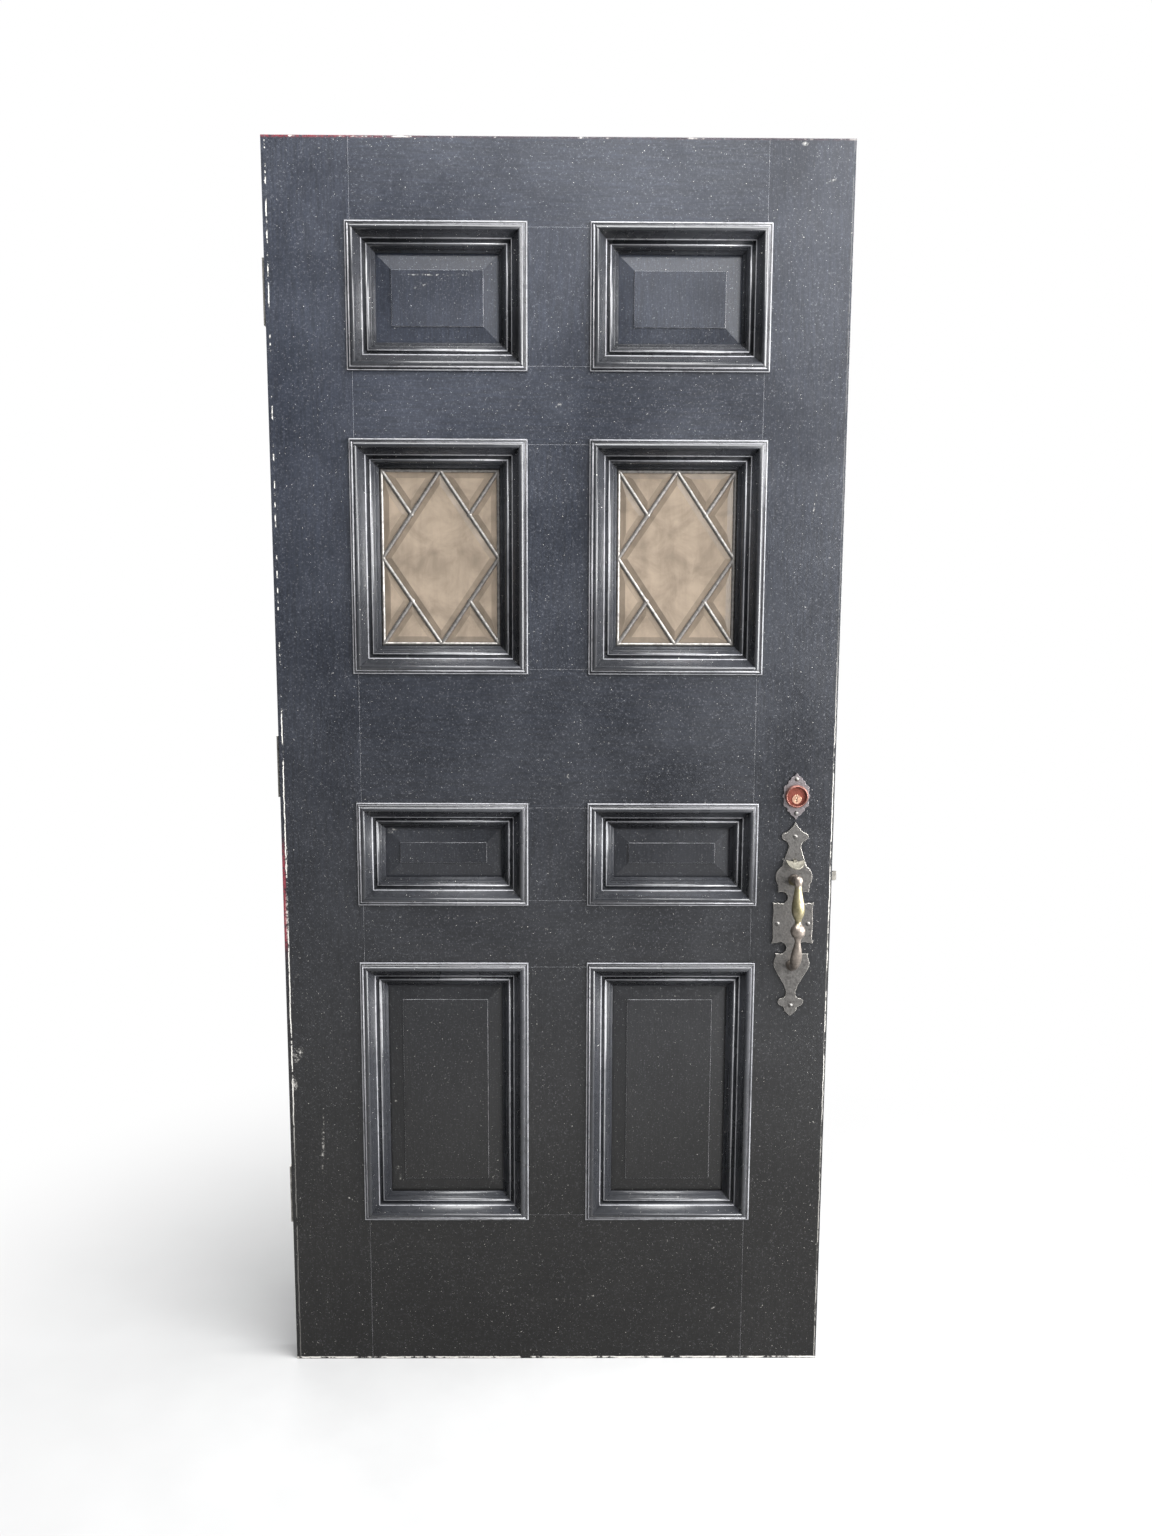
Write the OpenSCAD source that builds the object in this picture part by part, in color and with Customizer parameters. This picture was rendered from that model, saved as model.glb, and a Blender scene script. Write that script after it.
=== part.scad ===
// Weathered stile-and-rail entrance door leaf with bolection mouldings, two leaded lites,
// butt hinges, a thumb-latch handle and a deadbolt. Millimetres, +Z up.
// Origin: middle of the bottom edge, at mid thickness. The outside face looks towards -Y.

/* [Leaf] */
// Width of the leaf
door_w = 914.4; // [800:0.1:1100]
// Height of the leaf
door_h = 2032; // [1960:1:2440]
// Thickness of the stiles and rails
door_t = 44.45; // [42:0.05:54]
// Width of each stile
stile_w = 133.35; // [112:0.05:160]
// Width of the mullion between the two columns of openings
mullion_w = 114.3; // [95:0.1:140]
// Height of the top rail
top_rail_h = 132; // [110:1:160]
// Height of the frieze rail above the lites
frieze_rail_h = 120; // [100:1:145]
// Height of the lock rail below the lites
lock_rail_h = 229; // [190:1:275]
// Height of the cross rail above the lower panels
cross_rail_h = 115; // [96:1:138]
// Height of the bottom rail
bottom_rail_h = 270; // [225:1:325]
// Height of the top row of openings
top_row_h = 208; // [174:1:250]
// Height of the openings that hold the lites
lite_row_h = 356; // [297:1:428]
// Height of the middle row of openings
middle_row_h = 157; // [146:1:188]

/* [Panels] */
// Width of the groove that holds a panel's tongue
groove_w = 10; // [8:0.5:12]
// Depth of that groove
groove_d = 10; // [8:0.5:12]
// Play between a panel's tongue and the groove's floor
panel_play = 2; // [1:0.5:3]
// Width of a panel's bevelled margin, from the moulding to the raised field
margin_w = 25; // [18:0.5:28]
// Rise of the bevelled margin
margin_rise = 3.5; // [2:0.1:5]
// Height of the small step around the raised field
field_step = 1.6; // [1:0.1:2.5]
// Width of the sticking cut around the openings on the inside face
stick_w = 8; // [5:0.5:10]
// Depth of that sticking
stick_d = 7; // [5:0.5:9]

/* [Mouldings] */
// Width by which a moulding laps onto the frame
lap_w = 8.5; // [6:0.5:11]
// Width of a moulding inside its opening
moulding_in = 36.5; // [30:0.5:42]
// Height of a moulding above the leaf's face
moulding_proud = 8.4; // [6:0.1:11]
// Open joint at each mitre
mitre_gap = 0.3; // [0.2:0.05:0.6]

/* [Lites] */
// Width by which the mouldings cover a lite's edge
lite_lap = 5; // [3:0.5:8]
// Width of the came that shows along a lite's border
border_came_w = 6; // [4:0.5:9]
// Width of the came between the glass pieces
came_w = 6.5; // [4.5:0.5:9]
// Thickness of the came
came_t = 6.4; // [5:0.1:9]
// Thickness of the heart between two glass pieces
came_heart = 2; // [1.2:0.1:3]
// Thickness of the glass
glass_t = 4; // [3:0.1:4.6]

/* [Dowels] */
// Radius of the dowels that join rails and stiles
dowel_r = 6.35; // [5:0.05:8]
// Length of a dowel
dowel_l = 120; // [90:1:140]
// Play around a dowel and at its ends
dowel_play = 0.1; // [0.05:0.01:0.2]

/* [Hinges] */
// Height of a butt hinge
hinge_h = 101.6; // [88:0.1:125]
// Thickness of a hinge leaf
leaf_t = 2.5; // [2:0.1:3.5]
// Width of a hinge leaf that is let into the edge
leaf_in = 38; // [32:0.5:41]
// Gap between the two leaves of a closed hinge
hinge_gap = 2; // [1.5:0.1:3]
// Outer radius of a hinge knuckle
knuckle_r = 6; // [5.5:0.1:8]
// Radius of a hinge pin
pin_r = 3.5; // [3:0.1:4]
// Distance from the top of the leaf to the top hinge
hinge_top_in = 178; // [130:1:230]
// Distance from the bottom of the leaf to the bottom hinge
hinge_bottom_in = 254; // [200:1:310]
// Distance between the two outer screws of a hinge leaf
outer_screw_gap = 76; // [62:1:80]
// Distance between the two inner screws of a hinge leaf
inner_screw_gap = 26; // [20:1:32]

/* [Fasteners] */
// Radius of a wood screw's shank
screw_r = 2.2; // [1.8:0.1:2.6]
// Radius of a wood screw's head
screw_head_r = 4.2; // [3.6:0.1:4.6]
// Height of a wood screw's head
screw_head_h = 1.6; // [1.2:0.1:1.9]
// Length of a hinge screw
hinge_screw_l = 32; // [22:1:45]
// Length of a plate screw
plate_screw_l = 25; // [16:1:32]
// Play around a screw
screw_play = 0.1; // [0.05:0.01:0.2]
// Radius of the empty screw holes in the hinges' jamb leaves
jamb_hole_r = 2.6; // [2.5:0.1:3]

/* [Latch and handle] */
// Distance from the latch edge to the middle of the lock bores
backset = 63.5; // [52:0.1:76]
// Height of the latch above the bottom edge
latch_z = 868.3; // [820:0.1:1000]
// Radius of the bore for the latch's spindle
latch_bore_r = 19; // [18:0.5:22]
// Radius of the latch case
latch_case_r = 11; // [10:0.1:12]
// Radius of the latch bolt
latch_bolt_r = 8; // [6.5:0.1:8.5]
// Travel of the latch bolt
latch_throw = 12.7; // [9:0.1:14]
// Thickness of the handle's back plate
plate_t = 3.5; // [2.5:0.1:5]
// Distance of the grip's thickest part from the back plate
grip_out = 51.5; // [46:0.5:64]
// Side of the square spindle
spindle_a = 7.9; // [7:0.1:8.5]
// Height of the thumb piece's pivot above the latch
thumb_up = 31; // [29:1:36]
// Radius of the inside knob
knob_r = 26; // [22:1:30]

/* [Deadbolt] */
// Height of the deadbolt above the latch
bolt_up = 139.7; // [128:0.1:160]
// Radius of the bore for the lock cylinder
cylinder_bore_r = 16; // [15.6:0.1:18]
// Radius of the lock cylinder
cylinder_r = 15.5; // [15:0.1:15.8]
// Radius of the deadbolt case
bolt_case_r = 12; // [10:0.1:12]
// Radius of the deadbolt
bolt_r = 8; // [6.5:0.1:9]
// Radius of the key plug
plug_r = 7.5; // [6.5:0.1:8]
// Drop of the key plug below the middle of the cylinder
plug_drop = 4.5; // [3:0.1:6]
// Thickness of the deadbolt's plate
bolt_plate_t = 3; // [2:0.1:4]
// Outer radius of the cylinder collar
collar_r = 19; // [18:0.5:21]
// Height of the cylinder collar
collar_h = 7; // [5:0.5:9]

/* [Faceplates] */
// Width of a faceplate
face_w = 25.4; // [22:0.1:28]
// Height of a faceplate
face_h = 57.15; // [52:0.1:66]
// Thickness of a faceplate
face_t = 2.5; // [2:0.1:3.5]

/* [Hidden] */
fit = 0.05;
seat_gap = 0.1;
cut = 1;
half_w = door_w / 2;
front_y = -door_t / 2;
back_y = door_t / 2;
opening_w = (door_w - 2 * stile_w - mullion_w) / 2;
column_x = (mullion_w + opening_w) / 2;
inner_w = door_w - 2 * stile_w;
lower_row_h = door_h - top_rail_h - top_row_h - frieze_rail_h - lite_row_h
    - lock_rail_h - middle_row_h - cross_rail_h - bottom_rail_h;
lower_row_z = bottom_rail_h;
cross_rail_z = lower_row_z + lower_row_h;
middle_row_z = cross_rail_z + cross_rail_h;
lock_rail_z = middle_row_z + middle_row_h;
lite_row_z = lock_rail_z + lock_rail_h;
frieze_rail_z = lite_row_z + lite_row_h;
top_row_z = frieze_rail_z + frieze_rail_h;
top_rail_z = top_row_z + top_row_h;
// Each row of openings: its lower edge, its height, and whether it holds lites
ROWS = [
    [lower_row_z, lower_row_h, false],
    [middle_row_z, middle_row_h, false],
    [lite_row_z, lite_row_h, true],
    [top_row_z, top_row_h, false]
];
// Each rail: its lower edge and its height
RAILS = [
    [0, bottom_rail_h],
    [cross_rail_z, cross_rail_h],
    [lock_rail_z, lock_rail_h],
    [frieze_rail_z, frieze_rail_h],
    [top_rail_z, top_rail_h]
];
seat_y = -groove_w / 2;
sight_w = opening_w - 2 * moulding_in;
sight_lite_h = lite_row_h - 2 * moulding_in;
moulding_w = lap_w + moulding_in;
hinge_zs = [hinge_bottom_in, (door_h + hinge_bottom_in - hinge_top_in - hinge_h) / 2,
    door_h - hinge_top_in - hinge_h];
knuckle_l = hinge_h / 5;
knuckle_gap = 0.2;
pin_x = -half_w - hinge_gap / 2;
pin_y = back_y + knuckle_r + 0.5;
inner_screw_y = back_y - 12;
outer_screw_y = back_y - 27;
lock_x = half_w - backset;
bolt_z = latch_z + bolt_up;
thumb_z = latch_z + thumb_up;
thumb_y = front_y + 3;
thumb_pin_r = 1.5;
ear_t = 3;
arm_w = 6;
arm_t = 4;
side_play = 0.3;
rod_up = 14.4;
rod_r = 2;
bolt_rod_up = 13.7;
bolt_rod_r = 1.4;
case_back = 14;
case_wall = 4;
face_screw_up = 22;
cylinder_end = -bolt_case_r - 0.5;
rose_t = 5;
knob_bore_r = 9;
turn_bore_r = 6;
upper_post_z = latch_z - 1.5;
lower_post_z = latch_z - 148.5;

paint = [0.15, 0.155, 0.175];
brass = [0.62, 0.52, 0.32];
iron = [0.24, 0.23, 0.23];
steel = [0.55, 0.53, 0.5];
lead = [0.45, 0.44, 0.42];
copper = [0.62, 0.32, 0.22];
pine = [0.7, 0.55, 0.38];
clear_glass = [0.8, 0.78, 0.7, 0.4];

$fn = 64;

// Points along an arc, from angle a0 to angle a1
function arc(c, r, a0, a1, n = 8) =
    [for (i = [0:n]) c + r * [cos(a0 + (a1 - a0) * i / n), sin(a0 + (a1 - a0) * i / n)]];
function flip(points) = [for (i = [len(points) - 1:-1:0]) [-points[i][0], points[i][1]]];
function symmetric(half) = concat(half, flip(half));

// A block between two corners
module block(low, high) {
    translate(low) cube(high - low);
}

// A body of revolution about +Y, drawn with its axis along +Z
module along_y(x, y, z) {
    translate([x, y, z]) rotate([-90, 0, 0]) children();
}

// A body of revolution about +X, drawn with its axis along +Z
module along_x(x, y, z) {
    translate([x, y, z]) rotate([0, 90, 0]) children();
}

// The solid whose X-Y and Z-Y sections are one outline, so its corners are mitred
module mitred(cx, cz, w, h, outline_w, outline_h) {
    translate([cx, 0, cz]) intersection() {
        translate([0, 0, -h]) linear_extrude(2 * h) polygon(outline_w);
        rotate([0, -90, 0]) translate([0, 0, -w]) linear_extrude(2 * w) polygon(outline_h);
    }
}

// ---- Stiles and rails ----

function groove_half(half) = [
    [half, front_y - cut],
    [half, seat_y],
    [half + groove_d, seat_y],
    [half + groove_d, -seat_y],
    [half, -seat_y],
    [half, back_y - stick_d],
    [half + stick_w, back_y],
    [half + stick_w, back_y + cut]
];
function straight_half(half) = [[half, front_y - cut], [half, back_y + cut]];

module opening_void(row, side) {
    z0 = ROWS[row][0];
    h = ROWS[row][1];
    half_x = opening_w / 2;
    half_z = h / 2;
    along_w = ROWS[row][2] ? straight_half(half_x) : groove_half(half_x);
    along_h = ROWS[row][2] ? straight_half(half_z) : groove_half(half_z);
    mitred(side * column_x, z0 + half_z, opening_w, h, symmetric(along_w), symmetric(along_h));
}

module opening_voids() {
    for (row = [0:3]) {
        opening_void(row, -1);
        opening_void(row, 1);
    }
}

// Heights of the two dowels at each end of a rail
function dowel_zs(rail) = [rail[0] + rail[1] / 4, rail[0] + 3 * rail[1] / 4];

module rail_dowels(r, l) {
    for (rail = RAILS, side = [-1, 1], z = dowel_zs(rail)) {
        along_x(side * inner_w / 2 - l / 2, 0, z) cylinder(r = r, h = l);
    }
}

module mullion_dowels(r, l) {
    for (row = ROWS, end = [0, 1], side = [-1, 1]) {
        translate([side * mullion_w / 4, 0, row[0] + end * row[1] - l / 2]) cylinder(r = r, h = l);
    }
}

mullion_dowel_l = 80;

module dowel_holes() {
    rail_dowels(dowel_r + dowel_play, dowel_l + 2 * dowel_play);
    mullion_dowels(dowel_r + dowel_play, mullion_dowel_l + 2 * dowel_play);
}

module frame_dowels() {
    color(pine) {
        rail_dowels(dowel_r, dowel_l);
        mullion_dowels(dowel_r, mullion_dowel_l);
    }
}

module rail(rail) {
    color(paint) difference() {
        block([-inner_w / 2, front_y, rail[0]], [inner_w / 2, back_y, rail[0] + rail[1]]);
        opening_voids();
        dowel_holes();
    }
}

module mullion(row) {
    color(paint) difference() {
        block([-mullion_w / 2, front_y, row[0]], [mullion_w / 2, back_y, row[0] + row[1]]);
        opening_voids();
        dowel_holes();
    }
}

module hinge_screw_places() {
    for (z = hinge_zs, side = [-1, 1]) {
        translate([0, outer_screw_y, z + hinge_h / 2 + side * outer_screw_gap / 2]) children();
        translate([0, inner_screw_y, z + hinge_h / 2 + side * inner_screw_gap / 2]) children();
    }
}

module left_stile() {
    color(paint) difference() {
        block([-half_w, front_y, 0], [-half_w + stile_w, back_y, door_h]);
        opening_voids();
        dowel_holes();
        for (z = hinge_zs) {
            block([-half_w - cut, back_y - leaf_in, z], [-half_w + leaf_t, back_y + cut, z + hinge_h]);
        }
        hinge_screw_places() along_x(-half_w, 0, 0)
            cylinder(r = screw_r + screw_play, h = hinge_screw_l + cut);
    }
}

module faceplate_places() {
    for (z = [latch_z, bolt_z]) {
        translate([half_w, 0, z]) children();
    }
}

module face_screw_places() {
    faceplate_places() for (side = [-1, 1]) {
        translate([0, 0, side * face_screw_up]) children();
    }
}

// A bore from the latch edge to just past the cross bore, for a case
module edge_bore(z, r) {
    along_x(lock_x - case_back - cut, 0, z) cylinder(r = r, h = backset + case_back + 2 * cut);
}

module right_stile() {
    color(paint) difference() {
        block([half_w - stile_w, front_y, 0], [half_w, back_y, door_h]);
        opening_voids();
        dowel_holes();
        along_y(lock_x, front_y - cut, latch_z) cylinder(r = latch_bore_r, h = door_t + 2 * cut);
        along_y(lock_x, front_y - cut, bolt_z) cylinder(r = cylinder_bore_r, h = door_t + 2 * cut);
        edge_bore(latch_z, latch_case_r + fit);
        edge_bore(bolt_z, bolt_case_r + fit);
        faceplate_places() block([-face_t, -face_w / 2, -face_h / 2], [cut, face_w / 2, face_h / 2]);
        face_screw_places() rotate([0, -90, 0]) cylinder(r = screw_r + screw_play, h = plate_screw_l);
        block([lock_x - arm_w / 2 - ear_t - 2, front_y - cut, latch_z],
            [lock_x + arm_w / 2 + ear_t + 2, -2, thumb_z + 7]);
        plate_screw_places() along_y(0, front_y - cut, 0)
            cylinder(r = screw_r + screw_play, h = plate_screw_l + cut);
    }
}

// ---- Raised panels ----

// The right half of a panel's section, from its outside face to its inside face
function panel_half(half) =
    let (sight = half - moulding_in, field = sight - margin_w, tongue = half + groove_d - panel_play)
    let (margin_y = seat_y - margin_rise, field_y = margin_y - field_step)
    [
        [field, field_y],
        [field, margin_y],
        [sight, seat_y],
        [tongue, seat_y],
        [tongue, -seat_y],
        [sight, -seat_y],
        [field, -margin_y],
        [field, -field_y]
    ];

module panel(row, side) {
    h = ROWS[row][1];
    color(paint) mitred(side * column_x, ROWS[row][0] + h / 2, opening_w, h,
        symmetric(panel_half(opening_w / 2)), symmetric(panel_half(h / 2)));
}

// ---- Bolection mouldings ----

quirk_w = 4.5;
bead_r = 3.4;

// The moulded face, from its outer edge inwards: distance across, and height above the leaf's face
moulded_face = concat(
    [[0, 0], [0, 2]],
    arc([1.4, 2], 1.4, 180, 90, 3),
    [[3.2, 3.4]],
    arc([5.6, 4.4], 2.4, 180, 60, 4),
    [[7.6, moulding_proud - 0.8], [8.6, moulding_proud], [13.6, moulding_proud + 0.2]],
    arc([29.5, 13.6], 16.2, 200, 252, 6),
    [[26, -2.2], [26, -7.6], [26 + quirk_w, -7.6]],
    arc([26 + quirk_w + bead_r, -8.2], bead_r, 170, 40, 6),
    [[38.4, -8.2], [39.4, -8.2]],
    arc([46.4, -5.4], 7.6, 202, 246, 4),
    [[moulding_w, -12.6]]
);

// A moulding's section in an opening that starts at 0, with its lap outside it
module moulding_section(floor_h) {
    translate([-lap_w, 0]) polygon(concat(
        moulded_face,
        [[moulding_w, floor_h], [lap_w + seat_gap, floor_h], [lap_w + seat_gap, 0]]
    ));
}

// The stop's section is the same, with a rebate that holds the lite
module stop_section(floor_h, rebate_h) {
    difference() {
        moulding_section(floor_h);
        translate([moulding_in - lite_lap - seat_gap, floor_h - cut])
            square([lite_lap + cut + seat_gap, rebate_h + cut]);
    }
}

// Four mitred strips around an opening of w by h; the children draw their section
module mitred_strips(w, h) {
    for (turn = [0:3]) {
        long = turn % 2 == 0 ? w : h;
        across = turn % 2 == 0 ? h : w;
        rotate([0, 0, 90 * turn]) intersection() {
            translate([0, -across / 2, 0]) rotate([90, 0, 90]) translate([0, 0, -long])
                linear_extrude(2 * long) children();
            translate([0, 0, -50]) linear_extrude(100) translate([0, -across / 2]) polygon([
                [-long / 2 - lap_w - cut + mitre_gap / 2, -lap_w - cut],
                [long / 2 + lap_w + cut - mitre_gap / 2, -lap_w - cut],
                [long / 2 - moulding_in - cut - mitre_gap / 2, moulding_in + cut],
                [-long / 2 + moulding_in + cut + mitre_gap / 2, moulding_in + cut]
            ]);
        }
    }
}

module moulding(row, side) {
    h = ROWS[row][1];
    color(paint) translate([side * column_x, front_y, ROWS[row][0] + h / 2]) rotate([90, 0, 0])
        mitred_strips(opening_w, h) moulding_section(front_y - seat_y);
}

module lite_stop(side) {
    color(paint) translate([side * column_x, back_y, lite_row_z + lite_row_h / 2]) rotate([-90, 0, 0])
        mitred_strips(opening_w, lite_row_h) stop_section(seat_y - back_y, came_t);
}

// ---- Leaded lites ----

grid_w = sight_w - border_came_w;
grid_h = sight_lite_h - border_came_w;

// Two triangles in each quarter, and the diamond: the came's centre lines
QUARTERS = [[1, 1], [-1, 1], [-1, -1], [1, -1]];
function corner(q) = [q[0] * grid_w / 2, q[1] * grid_h / 2];
function beside(q) = [q[0] * grid_w / 2, 0];
function above(q) = [0, q[1] * grid_h / 2];
function crossing(q) = corner(q) / 2;

// A triangle moved inwards by d on each side, about the centre of its inscribed circle
function inset(p, d) =
    let (a = norm(p[1] - p[2]), b = norm(p[2] - p[0]), c = norm(p[0] - p[1]), round_all = a + b + c)
    let (middle = (a * p[0] + b * p[1] + c * p[2]) / round_all)
    let (area = abs((p[1] - p[0])[0] * (p[2] - p[0])[1] - (p[1] - p[0])[1] * (p[2] - p[0])[0]))
    [for (point = p) middle + (point - middle) * (1 - d * round_all / area)];

module came_bar(p, q) {
    along = q - p;
    translate(p) rotate([0, 0, atan2(along[1], along[0])]) translate([0, -came_w / 2])
        square([norm(along), came_w]);
}

module glass_plan(play) {
    shrink = 1 - 2 * play * norm([grid_w, grid_h]) / (grid_w * grid_h);
    polygon([for (p = [[grid_w, 0], [0, grid_h], [-grid_w, 0], [0, -grid_h]]) p / 2 * shrink]);
    for (q = QUARTERS) {
        polygon(inset([corner(q), above(q), crossing(q)], play));
        polygon(inset([corner(q), beside(q), crossing(q)], play));
    }
}

module came_plan() {
    difference() {
        square([sight_w + 2 * lite_lap, sight_lite_h + 2 * lite_lap], center = true);
        square([sight_w - 2 * border_came_w, sight_lite_h - 2 * border_came_w], center = true);
    }
    intersection() {
        square([sight_w, sight_lite_h], center = true);
        for (q = QUARTERS) {
            came_bar(beside(q), above(q));
            came_bar(crossing(q), corner(q));
        }
    }
}

module lite_place(side) {
    translate([side * column_x, seat_y + came_t / 2, lite_row_z + lite_row_h / 2]) rotate([90, 0, 0])
        children();
}

module lite_came(side) {
    color(lead) lite_place(side) difference() {
        translate([0, 0, -came_t / 2]) linear_extrude(came_t) came_plan();
        translate([0, 0, -glass_t / 2 - seat_gap]) linear_extrude(glass_t + 2 * seat_gap)
            glass_plan(came_heart / 2);
    }
}

module lite_glass(side) {
    color(clear_glass) lite_place(side) translate([0, 0, -glass_t / 2]) linear_extrude(glass_t)
        glass_plan(came_heart / 2 + seat_gap);
}

// ---- Hinges ----

knuckles_of_jamb = [0, 2, 4];
knuckles_of_door = [1, 3];

// One hinge leaf. It lies on the side of the pin that side gives, 1 for the door
module hinge_leaf(z, side, knuckles) {
    inner = hinge_gap / 2;
    difference() {
        union() {
            translate([pin_x, 0, z]) mirror([side < 0 ? 1 : 0, 0, 0])
                block([inner, back_y - leaf_in, 0], [inner + leaf_t, back_y + 0.2, hinge_h]);
            for (k = knuckles) {
                z0 = z + k * knuckle_l + (k == 0 ? 0 : knuckle_gap);
                z1 = z + (k + 1) * knuckle_l - (k == 4 ? 0 : knuckle_gap);
                translate([pin_x, pin_y, z0]) cylinder(r = knuckle_r, h = z1 - z0);
                translate([pin_x, 0, 0]) mirror([side < 0 ? 1 : 0, 0, 0])
                    block([inner, back_y, z0], [inner + leaf_t, pin_y - pin_r / 2, z1]);
            }
        }
        translate([pin_x, pin_y, z - cut]) cylinder(r = pin_r + fit, h = hinge_h + 2 * cut);
    }
}

// The space of a countersunk head whose face is at 0, opened out towards -Z
module countersink() {
    slope = (screw_head_r - screw_r) / screw_head_h;
    translate([0, 0, -cut]) cylinder(
        r1 = screw_head_r + screw_play + slope * cut,
        r2 = screw_r + screw_play,
        h = screw_head_h + cut
    );
}

// A hole for a countersunk screw through a leaf, from the gap between the leaves outwards
module leaf_holes(side, hole_r) {
    hinge_screw_places() translate([pin_x, 0, 0]) rotate([0, 90 * side, 0]) {
        cylinder(r = hole_r, h = 10);
        translate([0, 0, hinge_gap / 2]) countersink();
    }
}

module hinge_door_leaves() {
    color(steel) difference() {
        for (z = hinge_zs) {
            hinge_leaf(z, 1, knuckles_of_door);
        }
        leaf_holes(1, screw_r + screw_play);
    }
}

module hinge_jamb_leaves() {
    color(steel) difference() {
        for (z = hinge_zs) {
            hinge_leaf(z, -1, knuckles_of_jamb);
        }
        leaf_holes(-1, jamb_hole_r);
    }
}

module hinge_pins() {
    tip_r = knuckle_r - 1;
    color(steel) for (z = hinge_zs) {
        translate([pin_x, pin_y, z]) {
            cylinder(r = pin_r, h = hinge_h);
            translate([0, 0, hinge_h]) cylinder(r = tip_r, h = 2);
            translate([0, 0, hinge_h + tip_r]) sphere(r = tip_r - 0.5);
            translate([0, 0, -2]) cylinder(r = tip_r, h = 2);
            translate([0, 0, -tip_r]) sphere(r = tip_r - 0.5);
        }
    }
}

// A countersunk wood screw: its head's face at 0, its point towards +Z
module wood_screw(l) {
    cylinder(r1 = screw_head_r, r2 = screw_r, h = screw_head_h);
    cylinder(r = screw_r, h = l - 4);
    translate([0, 0, l - 4]) cylinder(r1 = screw_r, r2 = 0.4, h = 4);
}

module hinge_screws() {
    color(steel) hinge_screw_places() translate([-half_w, 0, 0]) rotate([0, 90, 0])
        wood_screw(hinge_screw_l);
}

// ---- Handle ----

// Right half of the back plate's outline, from its top down; heights are above the latch
plate_half = concat(
    [[0, 97], [3.5, 90], [9.5, 83]],
    arc([16, 72], 6.2, 95, -75, 8),
    [[12.2, 62], [9.5, 55], [19.5, 25]],
    arc([9.5, 3], 21, 60, -35, 8),
    arc([20, -32], 10.5, 60, 300, 12),
    [[30, -42], [34.5, -40.5], [32.6, -50], [33.6, -76], [32.6, -102], [34.5, -111], [29.5, -110]],
    arc([20, -118.5], 10.5, 60, 285, 12),
    [[27.5, -128.5]],
    arc([9, -146], 21, 35, -32, 7),
    [[19.5, -170], [11.8, -183], [7.5, -196], [9, -204]],
    arc([15.2, -213], 6.2, 100, -60, 7),
    [[11, -222], [9, -229], [4.5, -233.5], [0, -237]]
);
handle_screws = [[0, 72], [-25.5, -76.8], [25.5, -76.8], [0, -219]];
bolt_plate_screws = [[0, 28.5], [0, -28.5]];

module plate_screw_places() {
    for (p = handle_screws) {
        translate([lock_x + p[0], 0, latch_z + p[1]]) children();
    }
    for (p = bolt_plate_screws) {
        translate([lock_x + p[0], 0, bolt_z + p[1]]) children();
    }
}

module handle_plate() {
    ear_in = arm_w / 2 + side_play;
    color(iron) difference() {
        union() {
            translate([lock_x, front_y, latch_z]) rotate([90, 0, 0]) linear_extrude(plate_t)
                polygon(symmetric(plate_half));
            for (side = [-1, 1]) {
                translate([lock_x + side * (ear_in + ear_t / 2), front_y + 3, thumb_z])
                    cube([ear_t, 6, 8], center = true);
            }
        }
        block([lock_x - ear_in, front_y - plate_t - cut, thumb_z - 4.6],
            [lock_x + ear_in, front_y + cut, thumb_z + 2.8]);
        along_x(lock_x - 10, thumb_y, thumb_z) cylinder(r = thumb_pin_r, h = 20);
        for (p = handle_screws) {
            along_y(lock_x + p[0], front_y - plate_t - cut, latch_z + p[1])
                cylinder(r = screw_r + screw_play, h = 10);
        }
    }
}

module thumb_pivot_pin() {
    pin_l = arm_w + 2 * side_play + 2 * ear_t;
    color(steel) along_x(lock_x - pin_l / 2, thumb_y, thumb_z) cylinder(r = thumb_pin_r, h = pin_l);
}

module thumb_piece() {
    pad_r = 17;
    pad_tilt = 32;
    pad_t = 2.6;
    arm_out = 20;
    arm_in = 13;
    color(brass) difference() {
        union() {
            block([lock_x - arm_w / 2, thumb_y - arm_out, thumb_z - arm_t / 2],
                [lock_x + arm_w / 2, thumb_y + arm_in, thumb_z + arm_t / 2]);
            along_x(lock_x - arm_w / 2, thumb_y, thumb_z) cylinder(r = arm_t / 2 + 0.6, h = arm_w);
            translate([lock_x, thumb_y - arm_out + 2, thumb_z + 2.5]) rotate([pad_tilt, 0, 0])
                intersection() {
                    cylinder(r = pad_r, h = pad_t, center = true);
                    translate([0, -pad_r / 2 - 0.5, 0])
                        cube([2 * pad_r, pad_r + 5, 2 * pad_t], center = true);
                }
        }
        along_x(lock_x - 10, thumb_y, thumb_z) cylinder(r = thumb_pin_r + fit, h = 20);
    }
}

module plate_screws() {
    color(iron) {
        for (p = handle_screws) {
            along_y(lock_x + p[0], front_y - plate_t, latch_z + p[1]) round_screw();
        }
        for (p = bolt_plate_screws) {
            along_y(lock_x + p[0], front_y - bolt_plate_t, bolt_z + p[1]) round_screw();
        }
    }
}

// A round-headed screw: its head stands on the plane at 0, its point towards +Z
module round_screw() {
    intersection() {
        translate([0, 0, 2.4]) sphere(r = 4.5);
        translate([0, 0, -3]) cylinder(r = 5, h = 3);
    }
    translate([0, 0, -0.2]) cylinder(r = screw_r, h = plate_screw_l - 3.8);
    translate([0, 0, plate_screw_l - 4]) cylinder(r1 = screw_r, r2 = 0.4, h = 4);
}

// The turned part of the grip, with its axis along +Z and the end of its lower bend at 0
grip_len = 105;
turned_half = concat(
    [[0, -1], [6.6, -1], [5, 6], [4.6, 14]],
    arc([0, 25.8], 12.5, -52, 52, 8),
    [[4.6, 37], [5.4, 41], [4.8, 44], [9, 52], [11, 61], [10.2, 70], [7, 88], [5, grip_len]],
    [[0, grip_len]]
);

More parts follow.
